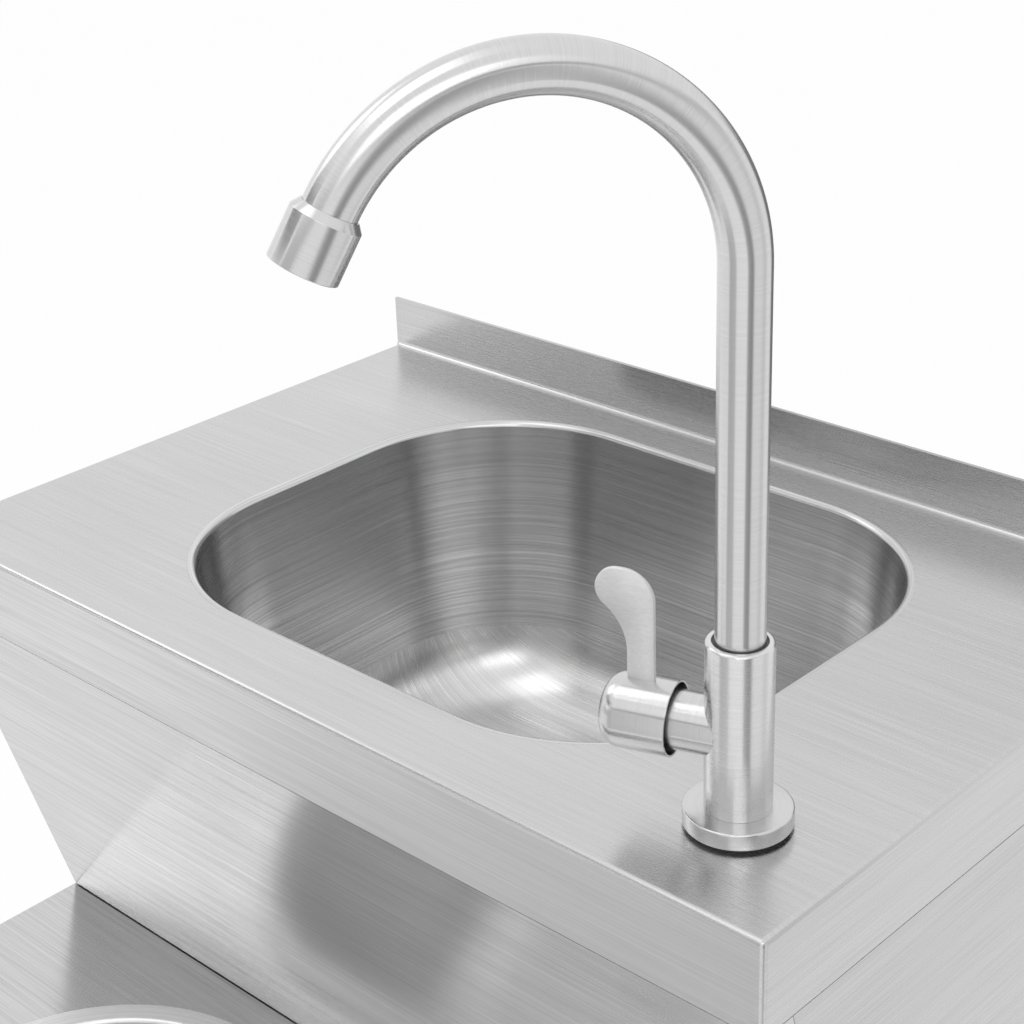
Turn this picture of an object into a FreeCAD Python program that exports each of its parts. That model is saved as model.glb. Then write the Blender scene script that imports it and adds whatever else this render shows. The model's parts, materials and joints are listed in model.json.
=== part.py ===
import FreeCAD, Part
import Sketcher
import math
import os

# Stainless steel hand wash unit: a hand basin deck behind and above a bucket sink deck, on one
# cabinet with levelling feet, with a swivelling gooseneck tap.
# +X is to the right of a person at the sink, +Y to the wall, +Z up. The floor is Z = 0, and the
# origin is at the middle of the unit's footprint.

SIZES = [
    ("unit_width", 500.0, "overall width"),
    ("unit_depth", 600.0, "overall depth, front to wall"),
    ("deck_height", 850.0, "floor to the hand basin deck"),
    ("bucket_height", 617.0, "floor to the bucket sink deck"),
    ("body_base", 100.0, "floor to the underside of the cabinet"),
    ("gauge", 1.2, "sheet of decks and panels"),
    ("fold", 2.5, "outside radius of a fold"),
    ("fascia", 40.0, "height of a deck's fascia"),
    ("hem", 12.0, "return flange under a fascia"),
    ("seam", 0.3, "gap between neighbouring sheets"),
    ("upper_depth", 317.0, "hand basin deck, front edge to upstand"),
    ("upstand_height", 28.0, "upstand above the deck"),
    ("upstand_gauge", 2.0, "doubled sheet of the upstand"),
    ("upstand_cove", 2.5, "inside radius at the foot of the upstand"),
    ("lean", 15.1, "splash panel, degrees from upright"),
    ("panel_return", 17.6, "folded side return of a front panel"),
    ("panel_foot_gap", 0.8, "open line under the splash panel"),
    ("flange", 20.0, "inner flange of a side wall"),
    ("bowl_draft", 6.0, "slope of a bowl's walls, degrees"),
    ("bowl_round", 40.0, "inside radius between wall and floor"),
    ("bowl_gauge", 1.0, "sheet of a bowl"),
    ("hand_bowl_width", 304.4, "basin opening, side to side"),
    ("hand_bowl_length", 248.4, "basin opening, front to back"),
    ("hand_bowl_corner", 85.5, "corner radius of the basin opening"),
    ("hand_bowl_depth", 150.0, "deck to hand basin floor"),
    ("hand_bowl_side", 2.0, "unit's middle to basin centre"),
    ("hand_bowl_set_back", 165.4, "deck front edge to basin centre"),
    ("hand_rim", 4.0, "width of the basin's rim"),
    ("hand_rim_rise", 0.1, "basin's rim above the deck"),
    ("hand_rim_round", 3.0, "roll of the basin's rim into its wall"),
    ("bucket_bowl_width", 317.0, "bucket bowl opening, side to side"),
    ("bucket_bowl_length", 262.0, "bucket bowl opening, front to back"),
    ("bucket_bowl_corner", 85.0, "corner radius of the bucket bowl opening"),
    ("bucket_bowl_depth", 180.0, "deck to bucket bowl floor"),
    ("bucket_bowl_set_back", 168.5, "deck front edge to bucket bowl centre"),
    ("bucket_rim", 13.5, "width of the bucket bowl's rim"),
    ("bucket_rim_rise", 3.0, "bucket bowl's rim above the deck"),
    ("bucket_rim_round", 2.3, "rounding of the bucket bowl's rim"),
    ("rim_under", 4.0, "rim below the top of the deck"),
    ("weld_gap", 0.05, "fit of a rim in its deck"),
    ("sink_depth", 3.0, "recess for a waste grid"),
    ("hand_grid_radius", 31.0, "hand basin waste grid"),
    ("bucket_grid_radius", 41.0, "bucket bowl waste grid"),
    ("hand_tail_radius", 20.95, "hand basin waste outlet"),
    ("bucket_tail_radius", 23.9, "bucket bowl waste outlet"),
    ("grid_gap", 2.0, "waste grid to the side of its recess"),
    ("grid_gauge", 1.5, "sheet of a waste grid"),
    ("grid_hole", 2.75, "radius of a waste grid's holes"),
    ("grid_inner_ring", 0.486, "inner ring of grid holes, as a share of the outlet's radius"),
    ("grid_outer_ring", 0.783, "outer ring of grid holes, as a share of the outlet's radius"),
    ("seal_thickness", 2.0, "rubber seal of a waste"),
    ("tail_length", 55.0, "waste outlet below its cup"),
    ("tail_wall", 2.0, "wall of a waste outlet"),
    ("cup_depth", 18.0, "cup of a waste body"),
    ("waste_screw", 3.0, "radius of a waste screw"),
    ("frame_gauge", 1.5, "sheet of the base frame and rear rail"),
    ("frame_height", 30.0, "skirt of the base frame"),
    ("frame_width", 60.0, "floor flange of the base frame"),
    ("rail_height", 60.0, "rear rail"),
    ("rail_depth", 20.0, "flanges of the rear rail"),
    ("rail_drop", 12.0, "deck fascia to the rear rail"),
    ("wall_hole", 4.5, "radius of a wall fixing hole"),
    ("wall_hole_spacing", 400.0, "between the wall fixing holes"),
    ("panel_screw", 2.0, "radius of a front panel screw"),
    ("panel_screw_spacing", 420.0, "between the front panel screws"),
    ("panel_screw_head", 4.5, "head radius of a front panel screw"),
    ("panel_screw_length", 9.0, "length of a front panel screw"),
    ("leg_inset", 45.0, "unit's side to a leg's axis"),
    ("leg_radius", 19.0, "leg tube"),
    ("leg_wall", 1.5, "wall of the leg tube"),
    ("insert_height", 22.0, "threaded plug in a leg"),
    ("stem_radius", 5.0, "threaded stem of a foot"),
    ("stem_length", 55.0, "foot's stem above its nut"),
    ("running_gap", 0.05, "radial clearance of a moving fit"),
    ("foot_radius", 20.0, "foot's sole"),
    ("foot_sole", 8.0, "height of the foot's sole"),
    ("foot_neck", 6.0, "height of the foot's cone"),
    ("foot_nut", 6.0, "height of the foot's hexagon"),
    ("foot_nut_flats", 17.0, "across the flats of the foot's hexagon"),
    ("tap_side", 200.3, "unit's middle to the tap's axis"),
    ("tap_set_back", 51.0, "deck front edge to the tap's axis"),
    ("tap_hole", 11.5, "radius of the tap hole"),
    ("gasket_radius", 19.0, "tap's base gasket"),
    ("gasket_thickness", 1.5, "tap's base gasket"),
    ("flange_radius", 20.2, "tap's base flange"),
    ("flange_height", 6.5, "tap's base flange"),
    ("flange_edge", 0.8, "rounding of the base flange"),
    ("tap_radius", 12.4, "tap body"),
    ("tap_top", 75.0, "deck to the top of the tap body"),
    ("tap_edge", 1.5, "rounding of the tap body's top"),
    ("shank_radius", 10.48, "threaded shank, half inch pipe thread"),
    ("shank_tail", 25.0, "free threaded end of the shank"),
    ("stud_radius", 10.0, "shank between the tap body and its nut"),
    ("shank_bore", 7.0, "radius of the shank's bore"),
    ("shank_drop", 55.0, "shank below the deck"),
    ("shank_grip", 14.0, "shank inside the tap body"),
    ("thread_gap", 0.05, "clearance of a screwed or seated fit"),
    ("stiffener_width", 64.0, "plate under the tap hole"),
    ("stiffener_gauge", 3.0, "plate under the tap hole"),
    ("washer_radius", 17.0, "washers under the tap hole"),
    ("washer_thickness", 2.0, "washers under the tap hole"),
    ("backnut_flats", 30.0, "across the flats of the shank nut"),
    ("backnut_height", 7.0, "shank nut"),
    ("water_radius", 6.0, "bore of the water way"),
    ("valve_height", 38.5, "deck to the valve's axis"),
    ("valve_turn", 198.9, "direction of the valve branch, degrees from +X"),
    ("branch_radius", 11.0, "valve branch"),
    ("branch_length", 32.0, "tap axis to the end of the branch"),
    ("cartridge_radius", 8.4, "ceramic cartridge"),
    ("cartridge_start", 14.0, "tap axis to the cartridge"),
    ("cartridge_length", 13.0, "ceramic cartridge"),
    ("gland_length", 4.5, "gland that holds the cartridge"),
    ("port_radius", 2.0, "port between water way and cartridge"),
    ("port_offset", 5.8, "valve axis to a port"),
    ("spindle_radius", 3.5, "valve spindle"),
    ("cap_radius", 14.1, "lever cap"),
    ("cap_start", 23.4, "tap axis to the open rim of the cap"),
    ("cap_end", 50.2, "tap axis to the closed end of the cap"),
    ("cap_wall", 0.9, "wall at the cap's open rim"),
    ("cap_hollow", 11.6, "depth of the cap's hollow"),
    ("cap_round", 7.5, "rounding of the cap's closed end"),
    ("spindle_bite", 11.0, "spindle inside the cap"),
    ("grub_radius", 2.0, "grub screw of the cap"),
    ("blade_near", 31.3, "tap axis to the blade's straight edge"),
    ("blade_width", 10.4, "width of the blade's neck"),
    ("blade_neck", 10.0, "straight part of the neck above the cap"),
    ("blade_height", 42.6, "blade above the cap"),
    ("blade_thickness", 2.0, "blade"),
    ("blade_head", 8.4, "radius of the blade's round end"),
    ("blade_chin", 49.0, "end of the round below the level, degrees"),
    ("blade_reach", 22.3, "blade's straight edge to the end of its head"),
    ("blade_shoulder", 30.6, "cap to the top of the blade's straight edge"),
    ("pipe_radius", 9.0, "spout pipe"),
    ("pipe_wall", 1.0, "wall of the spout pipe"),
    ("pipe_foot", 51.0, "deck to the lower end of the pipe"),
    ("pipe_straight", 210.3, "deck to the start of the bend"),
    ("bend_radius", 70.6, "centreline of the gooseneck"),
    ("bend_angle", 150.7, "turn of the gooseneck, degrees"),
    ("spout_turn", 240.6, "direction of the spout, degrees from +X"),
    ("bush_height", 14.0, "swivel bush"),
    ("bush_recess", 1.0, "tap body's top to the bush"),
    ("mouth_radius", 10.0, "seat of the swivel bush"),
    ("ring_wire", 0.5, "section radius of an O-ring"),
    ("ring_pitch", 3.6, "between the O-rings"),
    ("aerator_radius", 11.6, "aerator housing"),
    ("aerator_cone", 2.8, "length of the housing's shoulder"),
    ("aerator_length", 19.8, "aerator housing"),
    ("aerator_shoulder", 9.5, "radius at the top of the shoulder"),
    ("aerator_grip", 6.0, "pipe inside the housing"),
    ("aerator_wall", 1.3, "wall of the housing"),
    ("aerator_recess", 1.2, "insert behind the mouth"),
    ("jet_radius", 0.9, "jet of the aerator insert"),
    ("jet_inner_ring", 3.7, "radius of the inner ring of jets"),
    ("jet_outer_ring", 7.4, "radius of the outer ring of jets"),
]


class Size:
    """A length, angle or number, with the expression that binds a feature to the sheet."""

    def __init__(self, value, text):
        self.value = value
        self.text = text

    def __add__(self, other):
        other = as_size(other)
        return Size(self.value + other.value, f"({self.text} + {other.text})")

    def __sub__(self, other):
        other = as_size(other)
        return Size(self.value - other.value, f"({self.text} - {other.text})")

    def __mul__(self, other):
        other = as_size(other)
        return Size(self.value * other.value, f"({self.text} * {other.text})")

    def __truediv__(self, other):
        other = as_size(other)
        return Size(self.value / other.value, f"({self.text} / {other.text})")

    def __neg__(self):
        return self * -1

    def __radd__(self, other):
        return as_size(other) + self

    def __rsub__(self, other):
        return as_size(other) - self

    def __rmul__(self, other):
        return as_size(other) * self


def as_size(amount):
    return amount if isinstance(amount, Size) else Size(float(amount), f"{float(amount):.6f}")


def cosine(angle):
    angle = as_size(angle)
    return Size(math.cos(math.radians(angle.value)), f"cos({angle.text})")


def sine(angle):
    angle = as_size(angle)
    return Size(math.sin(math.radians(angle.value)), f"sin({angle.text})")


def tangent(angle):
    angle = as_size(angle)
    return Size(math.tan(math.radians(angle.value)), f"tan({angle.text})")


def make_sheet():
    """The spreadsheet of driving sizes, and the same sizes by name for the code below."""
    sheet = document.addObject("Spreadsheet::Sheet", "Sizes")
    sizes = {}
    for row, (name, value, note) in enumerate(SIZES, start=1):
        sheet.set(f"A{row}", note)
        sheet.set(f"B{row}", str(value))
        sheet.setAlias(f"B{row}", name)
        sizes[name] = Size(value, f"Sizes.{name}")
    document.recompute()
    return sizes


document = FreeCAD.newDocument("hand_wash_unit")
S = make_sheet()
NODES = []

# ---------------------------------------------------------------- places shared by many pieces
FRONT = -S["unit_depth"] / 2
BACK = S["unit_depth"] / 2
HALF_WIDTH = S["unit_width"] / 2
UPPER_FRONT = BACK - S["upstand_gauge"] - S["upper_depth"]
FASCIA_FOOT = S["deck_height"] - S["fascia"]
PANEL_DROP = FASCIA_FOOT - S["bucket_height"]
PANEL_RUN = PANEL_DROP * tangent(S["lean"])
LOWER_BACK = UPPER_FRONT + PANEL_RUN + S["panel_return"]
BUCKET_FASCIA_FOOT = S["bucket_height"] - S["fascia"]
HAND_BOWL_Y = UPPER_FRONT + S["hand_bowl_set_back"]
BUCKET_BOWL_Y = FRONT + S["bucket_bowl_set_back"]
TAP_Y = UPPER_FRONT + S["tap_set_back"]
FLANGE_TOP = S["gasket_thickness"] + S["flange_height"]


# ---------------------------------------------------------------- modelling helpers
def bind(item, path, amount):
    item.setExpression(path, as_size(amount).text)


def new_body(label):
    body = document.addObject("PartDesign::Body", label)
    body.Label = label
    return body


def keep(item):
    """Mark an object as a sub-part that is written out."""
    NODES.append(item)
    return item


def place(item, x, y, z, turn=0, tilt=0):
    """Stand an item at a point, turned about +Z after it is tilted about its own Y axis."""
    x, y, z, turn, tilt = (as_size(amount).text for amount in (x, y, z, turn, tilt))
    spin = f"rotation(vector(0; 0; 1); {turn}) * rotation(vector(0; 1; 0); {tilt})"
    item.setExpression("Placement", f"placement(vector({x}; {y}; {z}); {spin})")


def new_sketch(body, name, role="XY_Plane", offset=0):
    """An empty sketch on one of the body's own origin planes, or at an offset from it."""
    sketch = body.newObject("Sketcher::SketchObject", f"{body.Name}_{name}")
    support = next(item for item in body.Origin.OriginFeatures if item.Role == role)
    sketch.AttachmentSupport = (support, [""])
    sketch.MapMode = "FlatFace"
    bind(sketch, "AttachmentOffset.Base.z", offset)
    return sketch


def fix_point(sketch, element, point, x, y):
    """Hold a point of a sketch element at a distance from the sketch's origin."""
    for kind, amount in (("DistanceX", x), ("DistanceY", y)):
        amount = as_size(amount)
        constraint = Sketcher.Constraint(kind, -1, 1, element, point, amount.value)
        index = sketch.addConstraint(constraint)
        bind(sketch, f"Constraints[{index}]", amount)


def polygon(sketch, points):
    """A closed outline of straight lines through the points."""
    first = len(sketch.Geometry)
    corners = [FreeCAD.Vector(as_size(x).value, as_size(y).value, 0) for x, y in points]
    count = len(points)
    for number in range(count):
        sketch.addGeometry(Part.LineSegment(corners[number], corners[(number + 1) % count]), False)
    for number in range(count):
        after = first + (number + 1) % count
        sketch.addConstraint(Sketcher.Constraint("Coincident", first + number, 2, after, 1))
        fix_point(sketch, first + number, 1, *points[number])


def rectangle(sketch, left, low, right, high):
    polygon(sketch, [(left, low), (right, low), (right, high), (left, high)])


def circle(sketch, x, y, radius):
    radius = as_size(radius)
    centre = FreeCAD.Vector(as_size(x).value, as_size(y).value, 0)
    element = sketch.addGeometry(Part.Circle(centre, FreeCAD.Vector(0, 0, 1), radius.value), False)
    index = sketch.addConstraint(Sketcher.Constraint("Radius", element, radius.value))
    bind(sketch, f"Constraints[{index}]", radius)
    fix_point(sketch, element, 3, x, y)


def circle_ring(sketch, spread, count, radius):
    """Equal circles spaced evenly on a ring about the origin."""
    for number in range(count):
        angle = 360 / count * number
        circle(sketch, spread * cosine(angle), spread * sine(angle), radius)


def hexagon(sketch, flats):
    """A hexagon about the origin, by its size across the flats."""
    corner = flats / (2 * math.cos(math.radians(30)))
    polygon(sketch, [(corner * cosine(60 * k), corner * sine(60 * k)) for k in range(6)])


def rounded_rectangle(sketch, width, length, corner):
    """A rectangle about the origin with four equal round corners."""
    x, y, r = (as_size(amount).value for amount in (width / 2, length / 2, corner))
    ends = [(r - x, -y), (x - r, -y), (x, r - y), (x, y - r),
            (x - r, y), (r - x, y), (-x, y - r), (-x, r - y)]
    centres = [(x - r, r - y), (x - r, y - r), (r - x, y - r), (r - x, r - y)]
    for side, (cx, cy) in enumerate(centres):
        start, end = (FreeCAD.Vector(*ends[2 * side + k], 0) for k in (0, 1))
        sketch.addGeometry(Part.LineSegment(start, end), False)
        whole = Part.Circle(FreeCAD.Vector(cx, cy, 0), FreeCAD.Vector(0, 0, 1), r)
        begin = math.radians(90 * side - 90)
        sketch.addGeometry(Part.ArcOfCircle(whole, begin, begin + math.pi / 2), False)
    for side in range(4):
        line, arc, after = 2 * side, 2 * side + 1, (2 * side + 2) % 8
        sketch.addConstraint(Sketcher.Constraint("Tangent", line, 2, arc, 1))
        sketch.addConstraint(Sketcher.Constraint("Tangent", arc, 2, after, 1))
        sketch.addConstraint(Sketcher.Constraint("Vertical" if side % 2 else "Horizontal", line))
        if side:
            sketch.addConstraint(Sketcher.Constraint("Equal", 1, arc))
    index = sketch.addConstraint(Sketcher.Constraint("Radius", 1, r))
    bind(sketch, f"Constraints[{index}]", corner)
    sides = [("DistanceY", 0, -length / 2), ("DistanceX", 2, width / 2),
             ("DistanceY", 4, length / 2), ("DistanceX", 6, -width / 2)]
    for kind, line, amount in sides:
        index = sketch.addConstraint(Sketcher.Constraint(kind, -1, 1, line, 1, amount.value))
        bind(sketch, f"Constraints[{index}]", amount)


def pad(body, sketch, length, backwards=False, midplane=False, taper=None):
    feature = body.newObject("PartDesign::Pad", f"{sketch.Name}_pad")
    feature.Profile = sketch
    bind(feature, "Length", length)
    feature.Reversed = backwards
    feature.Midplane = midplane
    if taper is not None:
        bind(feature, "TaperAngle", taper)
    return finish(body, feature)


def pocket(body, sketch, length, backwards=False, midplane=False):
    """Cut against the sketch's normal, or along it when backwards is set."""
    feature = body.newObject("PartDesign::Pocket", f"{sketch.Name}_pocket")
    feature.Profile = sketch
    bind(feature, "Length", length)
    feature.Reversed = backwards
    feature.Midplane = midplane
    volume = body.Shape.Volume
    finish(body, feature)
    if body.Shape.Volume >= volume:
        raise ValueError(f"{feature.Name} cuts nothing")
    return feature


def revolve(body, sketch, cut=False, axis="V_Axis"):
    """Turn a sketch about one of its own axes, to add material or to cut it."""
    kind = "PartDesign::Groove" if cut else "PartDesign::Revolution"
    feature = body.newObject(kind, f"{sketch.Name}_turn")
    feature.Profile = sketch
    feature.ReferenceAxis = (sketch, [axis])
    feature.Angle = 360
    return finish(body, feature)


def dress(body, kind, amount, wanted):
    """Round or bevel the edges of the body for which wanted(edge) holds."""
    base = body.Tip
    edges = base.Shape.Edges
    names = [f"Edge{number}" for number, edge in enumerate(edges, start=1) if wanted(edge)]
    feature = body.newObject(f"PartDesign::{kind}", f"{base.Name}_{kind.lower()}")
    feature.Base = (base, names)
    bind(feature, "Radius" if kind == "Fillet" else "Size", amount)
    return finish(body, feature)


def finish(body, feature):
    body.Tip = feature
    document.recompute()
    if not feature.isValid() or feature.Shape.isNull():
        raise ValueError(f"{feature.Name} failed")
    return feature


def turned(label, points):
    """A round piece, from its half section as (radius, height) points."""
    body = new_body(label)
    sketch = new_sketch(body, "section", "XZ_Plane")
    polygon(sketch, points)
    revolve(body, sketch)
    return keep(body)


def ring(label, inner, outer, low, high):
    return turned(label, [(inner, low), (outer, low), (outer, high), (inner, high)])


def near(value, target, slack=0.01):
    return abs(value - target.value) < slack


def flat_at(height):
    """A test for edges that lie level at a height."""
    return lambda edge: near(edge.BoundBox.ZMin, height) and near(edge.BoundBox.ZMax, height)


# ---------------------------------------------------------------- decks and bowls
def make_deck(label, length, rear_gauge):
    """A folded pan, its top at Z = 0 and its front edge at Y = 0, with hems under its fascias."""
    body = new_body(label)
    block = new_sketch(body, "block")
    rectangle(block, -HALF_WIDTH, 0, HALF_WIDTH, length + rear_gauge)
    pad(body, block, S["fascia"], backwards=True)
    front = as_size(0)

    def fold(edge):
        box = edge.BoundBox
        top = near(box.ZMin, front) and box.YMin < length.value
        upright = box.ZLength > S["fascia"].value / 2 and near(box.YMax, front)
        return upright or (top and not near(box.YMin, length + rear_gauge))

    dress(body, "Fillet", S["fold"], fold)
    inside = HALF_WIDTH - S["gauge"]
    hollow = new_sketch(body, "hollow", offset=-S["gauge"])
    rectangle(hollow, -inside, S["gauge"], inside, length)
    pocket(body, hollow, S["fascia"] - 2 * S["gauge"])
    hem = new_sketch(body, "hem", offset=S["gauge"] - S["fascia"])
    opening = inside - S["hem"]
    rectangle(hem, -opening, S["gauge"] + S["hem"], opening, length)
    pocket(body, hem, S["gauge"])
    return keep(body)


def cut_deck(body, prefix, x, y):
    """The opening in a deck for a bowl's rim."""
    hole = new_sketch(body, "bowl_hole")
    bind(hole, "AttachmentOffset.Base.x", x)
    bind(hole, "AttachmentOffset.Base.y", y)
    bowl_outline(hole, prefix, S[f"{prefix}_rim"] + S["weld_gap"])
    pocket(body, hole, 2 * S["gauge"])


def make_upper_deck():
    deck = make_deck("upper_deck", S["upper_depth"], S["upstand_gauge"])
    upstand = new_sketch(deck, "upstand", offset=-S["fold"])
    rectangle(upstand, -HALF_WIDTH, S["upper_depth"], HALF_WIDTH,
              S["upper_depth"] + S["upstand_gauge"])
    pad(deck, upstand, S["upstand_height"] + S["fold"])
    deck_top = as_size(0)

    def foot(edge):
        box = edge.BoundBox
        level = near(box.ZMin, deck_top) and near(box.ZMax, deck_top)
        return level and near(box.YMin, S["upper_depth"]) and near(box.YMax, S["upper_depth"])

    dress(deck, "Fillet", S["upstand_cove"], foot)
    cut_deck(deck, "hand", S["hand_bowl_side"], S["hand_bowl_set_back"])
    tap = new_sketch(deck, "tap_hole")
    circle(tap, S["tap_side"], S["tap_set_back"], S["tap_hole"])
    pocket(deck, tap, 2 * S["gauge"])
    place(deck, 0, UPPER_FRONT, S["deck_height"])


def make_lower_deck():
    deck = make_deck("lower_deck", LOWER_BACK - FRONT - S["gauge"], S["gauge"])
    cut_deck(deck, "bucket", 0, S["bucket_bowl_set_back"])
    place(deck, 0, FRONT, S["bucket_height"])


def bowl_outline(sketch, prefix, grow):
    """The outline of a bowl's opening, grown all round."""
    rounded_rectangle(sketch, S[f"{prefix}_bowl_width"] + 2 * grow,
                      S[f"{prefix}_bowl_length"] + 2 * grow, S[f"{prefix}_bowl_corner"] + grow)


def bowl_form(label, prefix, grow):
    """A bowl's tapered block with its round floor and its recess, grown by a wall."""
    body = new_body(label)
    depth = S[f"{prefix}_bowl_depth"]
    top = new_sketch(body, "top", offset=-S["rim_under"])
    bowl_outline(top, prefix, grow)
    pad(body, top, depth + grow - S["rim_under"], backwards=True, taper=-S["bowl_draft"])
    dress(body, "Fillet", S["bowl_round"] + grow, flat_at(-(depth + grow)))
    recess = new_sketch(body, "recess", offset=-(depth - S["bowl_gauge"]))
    circle(recess, 0, 0, S[f"{prefix}_grid_radius"] + S["grid_gap"] + grow)
    pad(body, recess, S["sink_depth"] + S["bowl_gauge"] + grow, backwards=True)
    return body


def make_bowl(label, prefix, outer_round, x, y, height):
    """A pressed bowl with a rounded rim, a recess for the waste grid and its hole."""
    rise = S[f"{prefix}_rim_rise"]
    cavity = bowl_form(f"{label}_cavity", prefix, as_size(0))
    mouth = new_sketch(cavity, "mouth", offset=-S["rim_under"])
    bowl_outline(mouth, prefix, as_size(0))
    pad(cavity, mouth, S["rim_under"] + 2 * rise)
    drain = new_sketch(cavity, "drain", offset=-S[f"{prefix}_bowl_depth"])
    circle(drain, 0, 0, S[f"{prefix}_tail_radius"])
    pad(cavity, drain, S["sink_depth"] + 2 * S["bowl_gauge"], backwards=True)

    bowl = bowl_form(label, prefix, S["bowl_gauge"])
    bead = new_sketch(bowl, "bead", offset=-S["rim_under"])
    bowl_outline(bead, prefix, S[f"{prefix}_rim"])
    pad(bowl, bead, S["rim_under"] + rise)
    hollow = bowl.newObject("PartDesign::Boolean", f"{label}_hollow")
    hollow.setObjects([cavity])
    hollow.Type = 1
    finish(bowl, hollow)
    half_width = S[f"{prefix}_bowl_width"].value / 2
    half_length = S[f"{prefix}_bowl_length"].value / 2

    def rim_edge(edge):
        box = edge.BoundBox
        across = max(abs(box.XMin), abs(box.XMax)) - half_width
        along = max(abs(box.YMin), abs(box.YMax)) - half_length
        return flat_at(rise)(edge) and (outer_round or max(across, along) < S["weld_gap"].value)

    dress(bowl, "Fillet", S[f"{prefix}_rim_round"], rim_edge)
    place(bowl, x, y, height)
    return keep(bowl)


# ---------------------------------------------------------------- panels and walls
def lean_at(drop):
    """How far the splash panel has run back at a drop below the upper fascia."""
    return drop * tangent(S["lean"])


def make_splash_panel():
    """The inclined panel between the decks, folded back at both sides."""
    body = new_body("splash_panel")
    top = S["seam"]
    foot = PANEL_DROP - S["panel_foot_gap"]
    outline = new_sketch(body, "outline", "YZ_Plane")
    polygon(outline, [(lean_at(foot), -foot), (lean_at(foot) + S["panel_return"], -foot),
                      (lean_at(top) + S["panel_return"], -top), (lean_at(top), -top)])
    pad(body, outline, S["unit_width"], midplane=True)

    def outer_fold(edge):
        box = edge.BoundBox
        return box.XLength < 0.01 and box.ZLength > foot.value / 2 and near(box.YMin, lean_at(top))

    dress(body, "Fillet", S["fold"], outer_fold)
    hollow = new_sketch(body, "hollow", "YZ_Plane")
    skin = S["gauge"] / cosine(S["lean"])
    beyond = S["panel_return"] + S["fold"]
    low = foot + S["gauge"]
    polygon(hollow, [(lean_at(low) + skin, -low), (lean_at(low) + beyond, -low),
                     (beyond, 0), (skin, 0)])
    pocket(body, hollow, S["unit_width"] - 2 * S["gauge"], midplane=True)
    place(body, 0, UPPER_FRONT, FASCIA_FOOT)
    keep(body)


def make_front_panel():
    """The screwed panel below the bucket deck: a tray with returns on all four sides."""
    body = new_body("front_panel")
    height = BUCKET_FASCIA_FOOT - S["seam"] - S["body_base"]
    outline = new_sketch(body, "outline")
    rectangle(outline, -HALF_WIDTH, 0, HALF_WIDTH, S["panel_return"])
    pad(body, outline, height)
    front = as_size(0)

    def outer_fold(edge):
        return edge.BoundBox.ZLength > height.value / 2 and near(edge.BoundBox.YMax, front)

    dress(body, "Fillet", S["fold"], outer_fold)
    hollow = new_sketch(body, "hollow", offset=height - S["gauge"])
    inside = HALF_WIDTH - S["gauge"]
    rectangle(hollow, -inside, S["gauge"], inside, S["panel_return"] + S["gauge"])
    pocket(body, hollow, height - 2 * S["gauge"])
    holes = new_sketch(body, "screw_holes", offset=S["gauge"])
    for side in (-0.5, 0.5):
        circle(holes, side * S["panel_screw_spacing"], S["panel_return"] / 2,
               S["panel_screw"] + S["running_gap"])
    pocket(body, holes, 2 * S["gauge"])
    place(body, 0, FRONT, S["body_base"])
    keep(body)


def make_side_wall(label, side):
    """A cabinet side, cut to the two decks and the splash panel, with rear and foot flanges."""
    body = new_body(label)
    top = FASCIA_FOOT - S["seam"]
    panel_top = UPPER_FRONT + S["panel_return"] + S["seam"]
    panel_foot = LOWER_BACK + S["seam"]
    lower_top = BUCKET_FASCIA_FOOT - S["seam"]
    lower_front = FRONT + S["panel_return"] + S["seam"]
    outline = new_sketch(body, "outline", "YZ_Plane")
    polygon(outline, [(lower_front, S["body_base"]), (BACK, S["body_base"]), (BACK, top),
                      (panel_top, top), (panel_foot, S["bucket_height"]),
                      (panel_foot, lower_top), (lower_front, lower_top)])
    pad(body, outline, S["flange"], backwards=side > 0)
    hollow = new_sketch(body, "hollow", "YZ_Plane", offset=-side * S["gauge"])
    rear = BACK - S["gauge"]
    floor = S["body_base"] + S["gauge"]
    beyond = S["flange"]
    polygon(hollow, [(lower_front - beyond, floor), (rear, floor), (rear, top + beyond),
                     (panel_top - beyond, top + beyond),
                     (panel_foot - beyond, S["bucket_height"]),
                     (panel_foot - beyond, lower_top + beyond),
                     (lower_front - beyond, lower_top + beyond)])
    pocket(body, hollow, S["flange"], backwards=side < 0)
    place(body, side * HALF_WIDTH, 0, 0)
    keep(body)


def make_rear_rail():
    """A channel across the back with the two wall fixing holes."""
    body = new_body("rear_rail")
    half = HALF_WIDTH - S["gauge"] - S["seam"]
    outline = new_sketch(body, "outline")
    rectangle(outline, -half, -S["rail_depth"], half, 0)
    pad(body, outline, S["rail_height"])
    hollow = new_sketch(body, "hollow", offset=S["rail_height"] - S["frame_gauge"])
    rectangle(hollow, -half, -S["rail_depth"] - S["frame_gauge"], half, -S["frame_gauge"])
    pocket(body, hollow, S["rail_height"] - 2 * S["frame_gauge"])
    holes = new_sketch(body, "wall_holes", "XZ_Plane")
    for side in (-0.5, 0.5):
        circle(holes, side * S["wall_hole_spacing"], S["rail_height"] / 2, S["wall_hole"])
    pocket(body, holes, 2 * S["frame_gauge"], midplane=True)
    place(body, 0, BACK - S["gauge"] - S["seam"],
          FASCIA_FOOT - S["rail_drop"] - S["rail_height"])
    keep(body)


# ---------------------------------------------------------------- base frame, legs and feet
LEG_X = HALF_WIDTH - S["leg_inset"]
LEG_Y = S["unit_depth"] / 2 - S["leg_inset"]
FRAME_FLOOR = S["body_base"] + S["gauge"] + S["seam"]
LEG_FOOT = S["foot_sole"] + S["foot_neck"] + S["foot_nut"]
CORNERS = [(-1, -1), (1, -1), (-1, 1), (1, 1)]


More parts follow.
